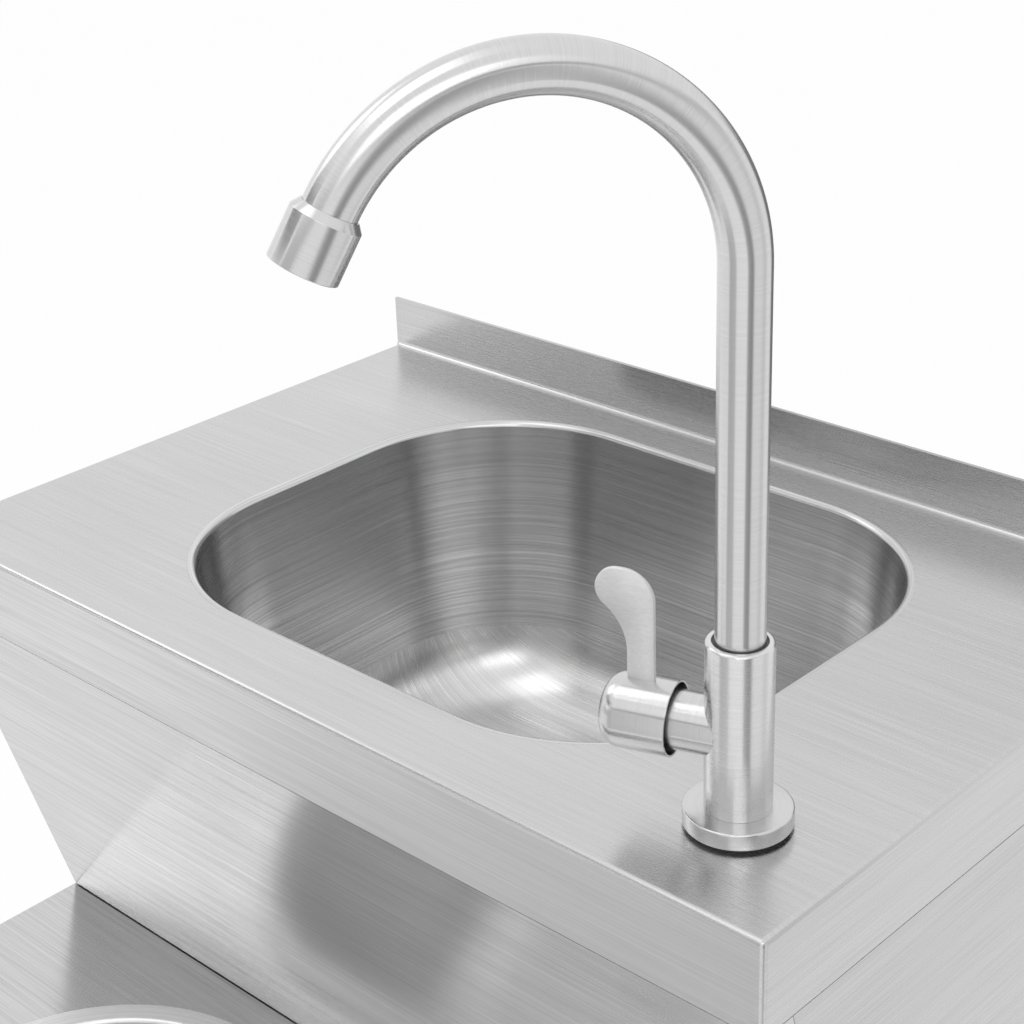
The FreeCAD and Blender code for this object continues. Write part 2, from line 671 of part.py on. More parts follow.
def make_base_frame():
    """An angle frame inside the foot of the cabinet, which the legs carry."""
    body = new_body("base_frame")
    half = HALF_WIDTH - S["gauge"] - S["seam"]
    length = S["unit_depth"] / 2 - S["gauge"] - S["seam"]
    block = new_sketch(body, "block")
    rectangle(block, -half, -length, half, length)
    pad(body, block, S["frame_height"])
    thin = S["frame_gauge"]
    hollow = new_sketch(body, "hollow", offset=S["frame_height"])
    rectangle(hollow, thin - half, thin - length, half - thin, length - thin)
    pocket(body, hollow, S["frame_height"] - thin)
    opening = new_sketch(body, "opening", offset=2 * thin)
    wide = S["frame_width"]
    rectangle(opening, wide - half, wide - length, half - wide, length - wide)
    pocket(body, opening, 3 * thin)
    holes = new_sketch(body, "screw_holes", offset=2 * thin)
    for side in (-0.5, 0.5):
        circle(holes, side * S["panel_screw_spacing"], FRONT + S["panel_return"] / 2,
               S["panel_screw"] + S["running_gap"])
    pocket(body, holes, 3 * thin)
    place(body, 0, 0, FRAME_FLOOR)
    keep(body)


def make_panel_screws():
    """The two pan-head screws that go up through the front panel's bottom return."""
    body = new_body("panel_screws")
    grip = new_sketch(body, "shanks")
    heads = new_sketch(body, "heads")
    for side in (-0.5, 0.5):
        circle(grip, side * S["panel_screw_spacing"], 0, S["panel_screw"])
        circle(heads, side * S["panel_screw_spacing"], 0, S["panel_screw_head"])
    pad(body, grip, S["panel_screw_length"])
    pad(body, heads, S["panel_screw_head"] / 2, backwards=True)
    dress(body, "Fillet", S["panel_screw_head"] / 4, flat_at(-S["panel_screw_head"] / 2))
    place(body, 0, FRONT + S["panel_return"] / 2, S["body_base"])
    keep(body)


def make_legs():
    """The four leg tubes and the threaded plugs in their lower ends."""
    tubes = new_body("leg_tubes")
    plugs = new_body("leg_plugs")
    outer = new_sketch(tubes, "tubes")
    plug = new_sketch(plugs, "plugs")
    inside = S["leg_radius"] - S["leg_wall"]
    for across, along in CORNERS:
        x, y = across * LEG_X, along * LEG_Y
        circle(outer, x, y, S["leg_radius"])
        circle(outer, x, y, inside)
        circle(plug, x, y, inside - S["thread_gap"])
        circle(plug, x, y, S["stem_radius"] + S["running_gap"])
    pad(tubes, outer, FRAME_FLOOR - LEG_FOOT - S["seam"])
    pad(plugs, plug, S["insert_height"])
    for body in (tubes, plugs):
        place(body, 0, 0, LEG_FOOT + S["seam"])
        keep(body)


def make_foot(label, across, along):
    """A levelling foot: sole, cone, hexagon and threaded stem in one turned piece."""
    body = new_body(label)
    bevel = S["foot_sole"] / 6
    neck = S["foot_sole"] + S["foot_neck"]
    top = LEG_FOOT + S["stem_length"]
    section = new_sketch(body, "section", "XZ_Plane")
    polygon(section, [(0, 0), (S["foot_radius"] - bevel, 0), (S["foot_radius"], bevel),
                      (S["foot_radius"], S["foot_sole"] - bevel),
                      (S["foot_radius"] - bevel, S["foot_sole"]),
                      (S["foot_nut_flats"] / 2, neck), (S["stem_radius"], neck),
                      (S["stem_radius"], top - bevel), (S["stem_radius"] - bevel, top), (0, top)])
    revolve(body, section)
    nut = new_sketch(body, "nut", offset=neck)
    hexagon(nut, S["foot_nut_flats"])
    pad(body, nut, S["foot_nut"])
    place(body, across * LEG_X, along * LEG_Y, 0)
    keep(body)


# ---------------------------------------------------------------- wastes
def make_waste(prefix, x, y, floor):
    """Grid, seals, body and screw of one waste. Z = 0 is the top of the bowl's recess."""
    grid_radius, tail_radius = S[f"{prefix}_grid_radius"], S[f"{prefix}_tail_radius"]
    lip = grid_radius - S["seal_thickness"]
    seal_in = tail_radius + S["weld_gap"]
    grid_low = S["seal_thickness"]
    screw_hole = S["waste_screw"] + S["thread_gap"]
    under = -S["bowl_gauge"]

    grid = new_body(f"{prefix}_waste_grid")
    disc = new_sketch(grid, "disc", offset=grid_low)
    circle(disc, 0, 0, grid_radius)
    pad(grid, disc, S["grid_gauge"])
    dress(grid, "Fillet", S["grid_gauge"] / 2, flat_at(grid_low + S["grid_gauge"]))
    holes = new_sketch(grid, "holes", offset=grid_low + S["grid_gauge"])
    circle(holes, 0, 0, screw_hole)
    circle_ring(holes, S["grid_inner_ring"] * tail_radius, 6, S["grid_hole"])
    circle_ring(holes, S["grid_outer_ring"] * tail_radius, 12, S["grid_hole"])
    pocket(grid, holes, 2 * S["grid_gauge"])
    keep(grid)

    top_seal = ring(f"{prefix}_waste_seal", seal_in, lip, 0, grid_low)
    washer = ring(f"{prefix}_waste_washer", seal_in, lip, under - S["seal_thickness"], under)

    body_top = under - S["seal_thickness"]
    cup = body_top - S["cup_depth"]
    tail_foot = cup - S["tail_length"]
    bore = tail_radius - S["tail_wall"]
    body = turned(f"{prefix}_waste_body",
                  [(tail_radius - S["weld_gap"], 0), (tail_radius - S["weld_gap"], body_top),
                   (lip, body_top), (lip, body_top - S["tail_wall"]),
                   (tail_radius, body_top - 2 * S["tail_wall"]), (tail_radius, tail_foot),
                   (bore, tail_foot), (bore, 0)])
    spider = new_sketch(body, "spider", offset=body_top)
    half_bar = S["tail_wall"]
    rectangle(spider, -tail_radius + S["tail_wall"] / 2, -half_bar,
              tail_radius - S["tail_wall"] / 2, half_bar)
    pad(body, spider, S["cup_depth"] / 2, backwards=True)
    boss = new_sketch(body, "boss", offset=body_top)
    circle(boss, 0, 0, 2 * S["waste_screw"])
    pad(body, boss, S["cup_depth"] / 2, backwards=True)
    thread = new_sketch(body, "thread", offset=body_top)
    circle(thread, 0, 0, screw_hole)
    pocket(body, thread, S["cup_depth"])

    head = grid_low + S["grid_gauge"]
    screw = turned(f"{prefix}_waste_screw",
                   [(0, body_top - S["cup_depth"] / 2), (S["waste_screw"], body_top - S["cup_depth"] / 2),
                    (S["waste_screw"], head), (2 * S["waste_screw"], head),
                    (1.6 * S["waste_screw"], head + 0.6 * S["waste_screw"]),
                    (0, head + 0.7 * S["waste_screw"])])
    for item in (grid, top_seal, washer, body, screw):
        place(item, x, y, floor - S["sink_depth"])


# ---------------------------------------------------------------- tap
def at_tap(item, turn=0):
    place(item, S["tap_side"], TAP_Y, S["deck_height"], turn)


def make_tap_base():
    """Gasket, flange, shank, stiffener, washers and nut that hold the tap to the deck."""
    bore = S["stud_radius"] + S["thread_gap"]
    gasket = ring("tap_gasket", bore, S["gasket_radius"], 0, S["gasket_thickness"])
    flange = ring("tap_flange", bore, S["flange_radius"], S["gasket_thickness"], FLANGE_TOP)

    def outer_rim(edge):
        return flat_at(FLANGE_TOP)(edge) and edge.BoundBox.XMax > S["tap_radius"].value

    dress(flange, "Fillet", S["flange_edge"], outer_rim)
    end, tail = -S["shank_drop"], S["shank_tail"] - S["shank_drop"]
    top = FLANGE_TOP + S["shank_grip"]
    shank = turned("tap_shank", [
        (S["shank_bore"], end), (S["shank_radius"], end), (S["shank_radius"], tail),
        (S["stud_radius"], tail), (S["stud_radius"], top), (S["shank_bore"], top)])
    under = -S["gauge"]
    plate = new_body("tap_stiffener")
    outline = new_sketch(plate, "outline", offset=under)
    half = S["stiffener_width"] / 2
    rectangle(outline, -half, -half, half, half)
    circle(outline, 0, 0, S["tap_hole"])
    pad(plate, outline, S["stiffener_gauge"], backwards=True)
    keep(plate)
    under = under - S["stiffener_gauge"]
    rubber = ring("shank_rubber_washer", bore, S["washer_radius"],
                  under - S["washer_thickness"], under)
    under = under - S["washer_thickness"]
    steel = ring("shank_steel_washer", bore, S["washer_radius"],
                 under - S["washer_thickness"] / 2, under)
    under = under - S["washer_thickness"] / 2
    nut = new_body("shank_nut")
    outline = new_sketch(nut, "outline", offset=under)
    hexagon(outline, S["backnut_flats"])
    circle(outline, 0, 0, bore)
    pad(nut, outline, S["backnut_height"], backwards=True)
    keep(nut)
    for item in (gasket, flange, shank, plate, rubber, steel, nut):
        at_tap(item)


PIPE_GUIDE = S["pipe_radius"] + S["running_gap"]
BUSH_TOP = S["tap_top"] - S["bush_recess"]
BUSH_FOOT = BUSH_TOP - S["bush_height"]
RING_CENTRE = PIPE_GUIDE + S["ring_wire"]
RING_HEIGHTS = [BUSH_FOOT - S["ring_pitch"] * share for share in (0.5, 1.5)]


def make_tap_body():
    """The upright body with its valve branch along the local +X axis, bored for water."""
    body = new_body("tap_body")
    core = new_sketch(body, "core", offset=FLANGE_TOP)
    circle(core, 0, 0, S["tap_radius"])
    pad(body, core, S["tap_top"] - FLANGE_TOP)
    dress(body, "Fillet", S["tap_edge"], flat_at(S["tap_top"]))
    branch = new_sketch(body, "branch", "YZ_Plane")
    circle(branch, 0, S["valve_height"], S["branch_radius"])
    pad(body, branch, S["branch_length"])

    socket = new_sketch(body, "shank_socket", offset=FLANGE_TOP)
    circle(socket, 0, 0, S["stud_radius"] + S["thread_gap"])
    pocket(body, socket, S["shank_grip"] + S["thread_gap"], backwards=True)
    inlet = new_sketch(body, "inlet", offset=FLANGE_TOP)
    circle(inlet, 0, 0, S["water_radius"])
    low_port = S["valve_height"] - S["port_offset"]
    pocket(body, inlet, low_port + S["port_radius"] - FLANGE_TOP, backwards=True)
    seat = new_sketch(body, "bush_seat", offset=S["tap_top"])
    circle(seat, 0, 0, S["mouth_radius"])
    pocket(body, seat, S["tap_top"] - BUSH_FOOT)
    guide = new_sketch(body, "pipe_guide", offset=S["tap_top"])
    circle(guide, 0, 0, PIPE_GUIDE)
    pocket(body, guide, S["tap_top"] - S["pipe_foot"] + S["thread_gap"])
    outlet = new_sketch(body, "outlet", offset=S["tap_top"])
    circle(outlet, 0, 0, S["water_radius"])
    high_port = S["valve_height"] + S["port_offset"]
    pocket(body, outlet, S["tap_top"] - high_port + S["port_radius"])

    chamber = new_sketch(body, "cartridge_seat", "YZ_Plane", offset=S["cartridge_start"])
    circle(chamber, 0, S["valve_height"], S["cartridge_radius"] + S["thread_gap"])
    pocket(body, chamber, S["branch_length"], backwards=True)
    ports = new_sketch(body, "ports", "YZ_Plane")
    circle(ports, 0, low_port, S["port_radius"])
    circle(ports, 0, high_port, S["port_radius"])
    pocket(body, ports, S["branch_length"], backwards=True)

    grooves = new_sketch(body, "ring_grooves", "XZ_Plane")
    deep = RING_CENTRE + S["ring_wire"]
    for height in RING_HEIGHTS:
        rectangle(grooves, S["water_radius"], height - S["ring_wire"], deep,
                  height + S["ring_wire"])
    revolve(body, grooves, cut=True)
    at_tap(body, S["valve_turn"])
    keep(body)


def make_swivel_seals():
    """The plastic bush and the two O-rings that the spout turns in."""
    bush = ring("spout_bush", PIPE_GUIDE, S["mouth_radius"] - S["thread_gap"], BUSH_FOOT, BUSH_TOP)
    rings = new_body("spout_o_rings")
    section = new_sketch(rings, "sections", "XZ_Plane")
    for height in RING_HEIGHTS:
        circle(section, RING_CENTRE, height, S["ring_wire"])
    revolve(rings, section)
    keep(rings)
    at_tap(bush)
    at_tap(rings)


def turned_on_branch(label, points):
    """A round piece on the valve's axis, from (distance from the tap's axis, radius) points."""
    body = new_body(label)
    section = new_sketch(body, "section", "XZ_Plane")
    polygon(section, points)
    revolve(body, section, axis="H_Axis")
    valve_place(body)
    return keep(body)


def valve_place(item):
    height = S["deck_height"] + S["valve_height"]
    place(item, S["tap_side"], TAP_Y, height, S["valve_turn"])


def make_valve():
    """Cartridge, gland and spindle in the branch. Local +X runs out along the branch."""
    start = S["cartridge_start"]
    end = start + S["cartridge_length"]
    hole = S["spindle_radius"] + S["running_gap"]
    turned_on_branch("valve_cartridge", [
        (start, S["port_radius"]), (start, S["cartridge_radius"]),
        (end, S["cartridge_radius"]), (end, hole), (start + S["port_radius"], hole),
        (start + S["port_radius"], S["port_radius"])])
    turned_on_branch("valve_gland", [
        (end, hole), (end, S["cartridge_radius"]),
        (end + S["gland_length"], S["cartridge_radius"]), (end + S["gland_length"], hole)])
    tip = S["cap_start"] + S["cap_hollow"] + S["spindle_bite"]
    bevel = S["spindle_radius"] / 4
    turned_on_branch("valve_spindle", [
        (start + S["port_radius"] + S["running_gap"], 0),
        (start + S["port_radius"] + S["running_gap"], S["spindle_radius"]),
        (tip - bevel, S["spindle_radius"]), (tip, S["spindle_radius"] - bevel), (tip, 0)])


def make_lever_cap():
    """The thin-rimmed cap with its round closed end, bored for the spindle and grub screw."""
    body = new_body("lever_cap")
    start, end = S["cap_start"], S["cap_end"]
    floor = start + S["cap_hollow"]
    section = new_sketch(body, "section", "XZ_Plane")
    hollow = S["cap_radius"] - S["cap_wall"]
    hole = S["spindle_radius"] + S["thread_gap"]
    hole_end = floor + S["spindle_bite"] + S["thread_gap"]
    polygon(section, [(start, hollow), (start, S["cap_radius"]), (end, S["cap_radius"]), (end, 0),
                      (hole_end, 0), (hole_end, hole), (floor, hole), (floor, hollow)])
    revolve(body, section, axis="H_Axis")

    def closed_end(edge):
        return near(edge.BoundBox.XMin, end) and near(edge.BoundBox.XMax, end)

    dress(body, "Fillet", S["cap_round"], closed_end)
    screw = new_sketch(body, "grub_hole")
    circle(screw, floor + S["spindle_bite"] / 2, 0, S["grub_radius"] + S["thread_gap"])
    pocket(body, screw, 2 * S["cap_radius"])
    valve_place(body)
    keep(body)

    grub = new_body("lever_grub_screw")
    outline = new_sketch(grub, "outline", offset=-S["spindle_radius"] - S["thread_gap"])
    circle(outline, floor + S["spindle_bite"] / 2, 0, S["grub_radius"])
    pad(grub, outline, S["cap_radius"] - S["spindle_radius"] - S["cap_wall"], backwards=True)
    valve_place(grub)
    keep(grub)


def make_lever_blade():
    """The flat paddle: a straight neck that bends over into a round end, in the local XZ plane."""
    body = new_body("lever_blade")
    foot = S["cap_radius"]
    top = foot + S["blade_height"]
    shoulder = foot + S["blade_shoulder"]
    neck = foot + S["blade_neck"]
    near_x = S["blade_near"]
    far_x = near_x + S["blade_width"]
    crown = top - shoulder
    crown_x = near_x + crown
    head = S["blade_head"]
    head_x = near_x + S["blade_reach"] - head
    head_z = top - head
    chin_x = head_x + head * cosine(S["blade_chin"])
    chin_z = head_z - head * sine(S["blade_chin"])
    across = chin_x - far_x
    rise = chin_z - neck
    throat = (across * across + rise * rise) / (2 * across)
    throat_end = math.pi - math.atan2(rise.value, throat.value - across.value)
    outline = new_sketch(body, "outline", "XZ_Plane")
    corners = [(far_x, foot), (near_x, foot), (near_x, shoulder), (crown_x, top),
               (head_x, top), (chin_x, chin_z), (far_x, neck)]
    spots = [FreeCAD.Vector(x.value, z.value, 0) for x, z in corners]

    def arc(x, z, radius, begin, end):
        whole = Part.Circle(FreeCAD.Vector(x.value, z.value, 0), FreeCAD.Vector(0, 0, 1),
                            radius.value)
        return Part.ArcOfCircle(whole, begin, end)

    chin = math.radians(S["blade_chin"].value)
    edges = [Part.LineSegment(spots[0], spots[1]),
             Part.LineSegment(spots[1], spots[2]),
             arc(crown_x, shoulder, crown, math.pi / 2, math.pi),
             Part.LineSegment(spots[3], spots[4]),
             arc(head_x, head_z, head, -chin, math.pi / 2),
             arc(far_x + throat, neck, throat, throat_end, math.pi),
             Part.LineSegment(spots[6], spots[0])]
    # each element's end that meets the start of the one after it
    ends = [(0, 2, 1, 1), (1, 2, 2, 2), (2, 1, 3, 1), (3, 2, 4, 2), (4, 1, 5, 1), (5, 2, 6, 1),
            (6, 2, 0, 1)]
    for edge in edges:
        outline.addGeometry(edge, False)
    for meeting in ends:
        outline.addConstraint(Sketcher.Constraint("Coincident", *meeting))
    starts = [(0, 1), (1, 1), (1, 2), (3, 1), (3, 2), (4, 1), (6, 1)]
    for (element, point), corner in zip(starts, corners):
        fix_point(outline, element, point, *corner)
    for element, radius in ((2, crown), (4, head), (5, throat)):
        index = outline.addConstraint(Sketcher.Constraint("Radius", element, radius.value))
        bind(outline, f"Constraints[{index}]", radius)
    pad(body, outline, S["blade_thickness"], midplane=True)
    valve_place(body)
    keep(body)


def make_spout():
    """The gooseneck pipe, swept round its bend in the local XZ plane."""
    body = new_body("spout_pipe")
    route = new_sketch(body, "route", "XZ_Plane")
    start, straight = S["pipe_foot"], S["pipe_straight"]
    radius, turn = S["bend_radius"], S["bend_angle"]
    end_x = radius * (1 - cosine(turn))
    end_z = straight + radius * sine(turn)
    tail_x = end_x + S["aerator_grip"] * sine(turn)
    tail_z = end_z + S["aerator_grip"] * cosine(turn)
    middle = FreeCAD.Vector(radius.value, straight.value, 0)
    whole = Part.Circle(middle, FreeCAD.Vector(0, 0, 1), radius.value)
    bend_end = FreeCAD.Vector(end_x.value, end_z.value, 0)
    route.addGeometry(Part.LineSegment(FreeCAD.Vector(0, start.value, 0),
                                       FreeCAD.Vector(0, straight.value, 0)), False)
    route.addGeometry(Part.ArcOfCircle(whole, math.pi - math.radians(turn.value), math.pi), False)
    route.addGeometry(Part.LineSegment(bend_end, FreeCAD.Vector(tail_x.value, tail_z.value, 0)),
                      False)
    route.addConstraint(Sketcher.Constraint("Coincident", 0, 2, 1, 2))
    route.addConstraint(Sketcher.Constraint("Coincident", 1, 1, 2, 1))
    for element, point, x, z in ((0, 1, 0, start), (0, 2, 0, straight), (2, 1, end_x, end_z),
                                 (2, 2, tail_x, tail_z)):
        fix_point(route, element, point, x, z)
    index = route.addConstraint(Sketcher.Constraint("Radius", 1, radius.value))
    bind(route, f"Constraints[{index}]", radius)
    wall = new_sketch(body, "wall", offset=start)
    circle(wall, 0, 0, S["pipe_radius"])
    circle(wall, 0, 0, S["pipe_radius"] - S["pipe_wall"])
    pipe = body.newObject("PartDesign::AdditivePipe", "spout_pipe_sweep")
    pipe.Profile = wall
    pipe.Spine = (route, ["Edge1", "Edge2", "Edge3"])
    finish(body, pipe)
    at_tap(body, S["spout_turn"])
    keep(body)


def at_mouth(item):
    """Stand an item at the end of the bend, its +Z along the water's way out."""
    turn, bend = S["spout_turn"].text, S["bend_angle"].text
    run = S["bend_radius"] * (1 - cosine(S["bend_angle"]))
    rise = S["pipe_straight"] + S["bend_radius"] * sine(S["bend_angle"])
    base = f"vector({S['tap_side'].text}; {TAP_Y.text}; {S['deck_height'].text})"
    swing = f"placement({base}; rotation(vector(0; 0; 1); {turn}))"
    drop = f"placement(vector({run.text}; 0; {rise.text}); rotation(vector(0; 1; 0); {bend}))"
    item.setExpression("Placement", f"{swing} * {drop}")


def make_aerator():
    """Housing, sealing washer and jet insert at the mouth of the spout."""
    outer = S["aerator_radius"]
    inner = outer - S["aerator_wall"]
    socket = S["pipe_radius"] + S["thread_gap"]
    stop = S["aerator_grip"] + S["thread_gap"]
    throat = S["pipe_radius"] - S["pipe_wall"]
    shelf = stop + S["aerator_wall"]
    end = S["aerator_length"]
    edge = S["aerator_wall"] / 3
    housing = turned("aerator_housing", [
        (socket, 0), (S["aerator_shoulder"], 0), (outer, S["aerator_cone"]), (outer, end - edge),
        (outer - edge, end), (inner, end), (inner, shelf), (throat, shelf), (throat, stop),
        (socket, stop)])
    washer = ring("aerator_washer", throat, inner - S["thread_gap"], shelf,
                  shelf + S["aerator_wall"])
    low = shelf + S["aerator_wall"]
    high = end - S["aerator_recess"]
    insert = new_body("aerator_insert")
    disc = new_sketch(insert, "disc", offset=low)
    circle(disc, 0, 0, inner - S["thread_gap"])
    circle(disc, 0, 0, S["jet_radius"])
    circle_ring(disc, S["jet_inner_ring"], 6, S["jet_radius"])
    circle_ring(disc, S["jet_outer_ring"], 12, S["jet_radius"])
    pad(insert, disc, high - low)
    keep(insert)
    for item in (housing, washer, insert):
        at_mouth(item)


def write_parts():
    """Check every object, then write each sub-part to its own STEP file."""
    document.recompute()
    for item in document.Objects:
        if {"Invalid", "Error"} & set(item.State):
            raise ValueError(f"{item.Name} failed: {item.State}")
    for item in NODES:
        if item.Shape.isNull() or not item.Shape.isValid() or not item.Shape.Solids:
            raise ValueError(f"{item.Label} has no valid shape")
    os.makedirs("parts", exist_ok=True)
    for item in NODES:
        item.Shape.exportStep(f"parts/{item.Label}.step")
        print(f"{item.Label}: {len(item.Shape.Solids)} solids, {item.Shape.Volume:.0f} mm3")


def main():
    make_upper_deck()
    make_lower_deck()
    make_bowl("hand_basin", "hand", False, S["hand_bowl_side"], HAND_BOWL_Y, S["deck_height"])
    make_bowl("bucket_bowl", "bucket", True, 0, BUCKET_BOWL_Y, S["bucket_height"])
    make_splash_panel()
    make_front_panel()
    make_side_wall("side_wall_left", -1)
    make_side_wall("side_wall_right", 1)
    make_rear_rail()
    make_base_frame()
    make_panel_screws()
    make_legs()
    for label, (across, along) in zip(("front_left", "front_right", "rear_left", "rear_right"),
                                      CORNERS):
        make_foot(f"foot_{label}", across, along)
    make_waste("hand", S["hand_bowl_side"], HAND_BOWL_Y, S["deck_height"] - S["hand_bowl_depth"])
    make_waste("bucket", 0, BUCKET_BOWL_Y, S["bucket_height"] - S["bucket_bowl_depth"])
    make_tap_base()
    make_tap_body()
    make_swivel_seals()
    make_valve()
    make_lever_cap()
    make_lever_blade()
    make_spout()
    make_aerator()
    write_parts()


main()
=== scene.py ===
import bmesh
import bpy
import json
import math
from mathutils import Matrix, Vector


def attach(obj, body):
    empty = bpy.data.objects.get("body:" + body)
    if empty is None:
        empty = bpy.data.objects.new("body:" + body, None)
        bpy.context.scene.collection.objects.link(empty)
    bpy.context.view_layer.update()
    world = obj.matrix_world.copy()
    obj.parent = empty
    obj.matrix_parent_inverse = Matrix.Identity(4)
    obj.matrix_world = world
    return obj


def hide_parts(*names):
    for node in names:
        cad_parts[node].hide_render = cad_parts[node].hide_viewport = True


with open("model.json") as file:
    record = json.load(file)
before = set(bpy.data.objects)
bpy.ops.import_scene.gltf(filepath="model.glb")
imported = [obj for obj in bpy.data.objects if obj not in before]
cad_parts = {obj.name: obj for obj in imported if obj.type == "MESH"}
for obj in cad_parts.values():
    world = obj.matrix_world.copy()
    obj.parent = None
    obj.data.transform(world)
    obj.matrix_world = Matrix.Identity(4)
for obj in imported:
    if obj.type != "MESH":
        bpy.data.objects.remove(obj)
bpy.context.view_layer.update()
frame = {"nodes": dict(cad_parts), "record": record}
MM = 0.001

# ------------------------------------------------ sizes in millimetres and degrees, as in the part
DECK_HEIGHT = 850.0
BUCKET_HEIGHT = 617.0
BOWL_DRAFT = 6.0
BOWL_ROUND = 40.0
BOWL_GAUGE = 1.0
RIM_UNDER = 4.0
SINK_DEPTH = 3.0
SINK_EDGE = 0.8
GRID_GAP = 2.0
HAND_BOWL = {"half": (152.2, 124.2), "corner": 85.5, "depth": 150.0, "rim": 4.05, "rise": 0.0,
             "roll": 3.0, "grid": 31.0, "drain": 20.95, "place": (2.0, 146.4, DECK_HEIGHT)}
BUCKET_BOWL = {"half": (158.5, 131.0), "corner": 85.0, "depth": 180.0, "rim": 13.5, "rise": 3.0,
               "roll": 2.3, "grid": 41.0, "drain": 23.9, "place": (0.0, -131.5, BUCKET_HEIGHT)}
TAP_X = 200.3
TAP_Y = 32.0
SHANK_BORE = 10.05
GASKET_TOP = 1.5
FLANGE_TOP = 8.0
COLUMN_TOP = 75.0
VALVE_HEIGHT = 38.5
VALVE_TURN = 198.9
CAP_RADIUS = 14.1
CAP_END = 50.2
SPOUT_TURN = 240.6
PIPE_RADIUS = 9.0
PIPE_WALL = 1.0
PIPE_FOOT = 51.0
PIPE_STRAIGHT = 210.3
PIPE_TAIL = 6.0
BEND_RADIUS = 70.6
BEND_ANGLE = 150.7

# ------------------------------------------------ how the new meshes are made
FLOOR_BRUSH = 112.0  # depth in a bowl at which the floor's own brush starts
FLOOR_CORNER = 22.0  # corner radius of the innermost loop of a bowl's flat floor
RIM_STEPS = 8
FLOOR_ROUND_STEPS = 18
CORNER_STEPS = 26
TURNED_SIDES = 96
PIPE_SIDES = 72
STRAIGHT_STEPS = 16
BEND_STEPS = 72
BLADE_STEPS = 14
SHARP_ANGLE = 35.0
BLADE_SHARP_ANGLE = 50.0
HAIR = 0.001  # the least height in millimetres that tells two levels apart
MERGE = 1e-7  # in metres


# ------------------------------------------------ mesh helpers
def circle_arc(before, corner, after, radius, steps):
    """Points of a round of that radius where two straight runs meet in a plane."""
    a = (Vector(before) - Vector(corner)).normalized()
    b = (Vector(after) - Vector(corner)).normalized()
    half = a.angle(b) / 2
    reach = radius / math.tan(half)
    middle = Vector(corner) + (a + b).normalized() * (radius / math.sin(half))
    start = Vector(corner) + a * reach - middle
    end = Vector(corner) + b * reach - middle
    sweep = math.atan2(start.x * end.y - start.y * end.x, start.dot(end))
    points = []
    for step in range(steps + 1):
        turn = sweep * step / steps
        c, s = math.cos(turn), math.sin(turn)
        points.append((middle.x + start.x * c - start.y * s, middle.y + start.x * s + start.y * c))
    return points


def rounded(corners, steps, closed=True):
    """A line through (x, y, radius) corners, each radius above 0 made into a round."""
    line = []
    count = len(corners)
    for number, (x, y, radius) in enumerate(corners):
        if radius <= 0 or (not closed and number in (0, count - 1)):
            line.append((x, y))
            continue
        before = corners[number - 1][:2]
        after = corners[(number + 1) % count][:2]
        line.extend(circle_arc(before, (x, y), after, radius, steps))
    return line


def lengths(line):
    """Running length along a line of points."""
    run = [0.0]
    for a, b in zip(line, line[1:]):
        run.append(run[-1] + (Vector(b) - Vector(a)).length)
    return run


def add_object(name, data):
    """A new object in the scene for a mesh, a lamp or a camera."""
    item = bpy.data.objects.new(name, data)
    bpy.context.scene.collection.objects.link(item)
    return item


def add_piece(name, work, place, sharp=SHARP_ANGLE):
    """A piece from a finished bmesh, smooth but for its sharp edges."""
    bmesh.ops.recalc_face_normals(work, faces=work.faces)
    mesh = bpy.data.meshes.new(name)
    work.to_mesh(mesh)
    work.free()
    for polygon in mesh.polygons:
        polygon.use_smooth = True
    mesh.set_sharp_from_angle(angle=math.radians(sharp))
    mesh.transform(place)
    return add_object(name, mesh)


def grid_piece(name, rows, uvs, place):
    """A skin of quads through rows of points, closed both ways, with a UV for every corner."""
    work = bmesh.new()
    verts = [[work.verts.new(Vector(p) * MM) for p in row] for row in rows]
    layer = work.loops.layers.uv.new("brush")
    height, width = len(rows), len(rows[0])
    for i in range(height):
        for j in range(width):
            i2, j2 = (i + 1) % height, (j + 1) % width
            face = work.faces.new((verts[i][j], verts[i][j2], verts[i2][j2], verts[i2][j]))
            spots = [(i, j), (i, j + 1), (i + 1, j + 1), (i + 1, j)]
            for loop, (row, column) in zip(face.loops, spots):
                loop[layer].uv = uvs(row, column, i)
    bmesh.ops.remove_doubles(work, verts=work.verts, dist=MERGE)
    bmesh.ops.dissolve_degenerate(work, edges=work.edges, dist=MERGE)
    return add_piece(name, work, place)


def lathe(name, corners, place, steps=5):
    """A turned piece from its closed half section of (radius, height, round) corners."""
    line = rounded(corners, steps)
    run = lengths(line + line[:1])
    turns = [2 * math.pi * k / TURNED_SIDES for k in range(TURNED_SIDES)]
    rows = [[(radius * math.cos(turn), radius * math.sin(turn), height) for turn in turns]
            for radius, height in line]
    widest = max(radius for radius, _ in line)

    def uvs(row, column, _):
        return (2 * math.pi * widest * column / TURNED_SIDES * MM, run[row] * MM)

    return grid_piece(name, rows, uvs, place)


def at_tap(turn=0.0, height=0.0):
    """The tap's frame on the deck: local +Z runs up its body."""
    spot = Matrix.Translation(Vector((TAP_X, TAP_Y, DECK_HEIGHT + height)) * MM)
    return spot @ Matrix.Rotation(math.radians(turn), 4, "Z")


def on_branch():
    """The valve's frame: local +Z runs out along the branch."""
    return at_tap(VALVE_TURN, VALVE_HEIGHT) @ Matrix.Rotation(math.radians(90), 4, "Y")


def at_mouth():
    """The end of the gooseneck's bend: local +Z is the water's way out."""
    turn = math.radians(BEND_ANGLE)
    run = BEND_RADIUS * (1 - math.cos(turn))
    rise = PIPE_STRAIGHT + BEND_RADIUS * math.sin(turn)
    drop = Matrix.Translation(Vector((run, 0, rise)) * MM)
    return at_tap(SPOUT_TURN) @ drop @ Matrix.Rotation(turn, 4, "Y")


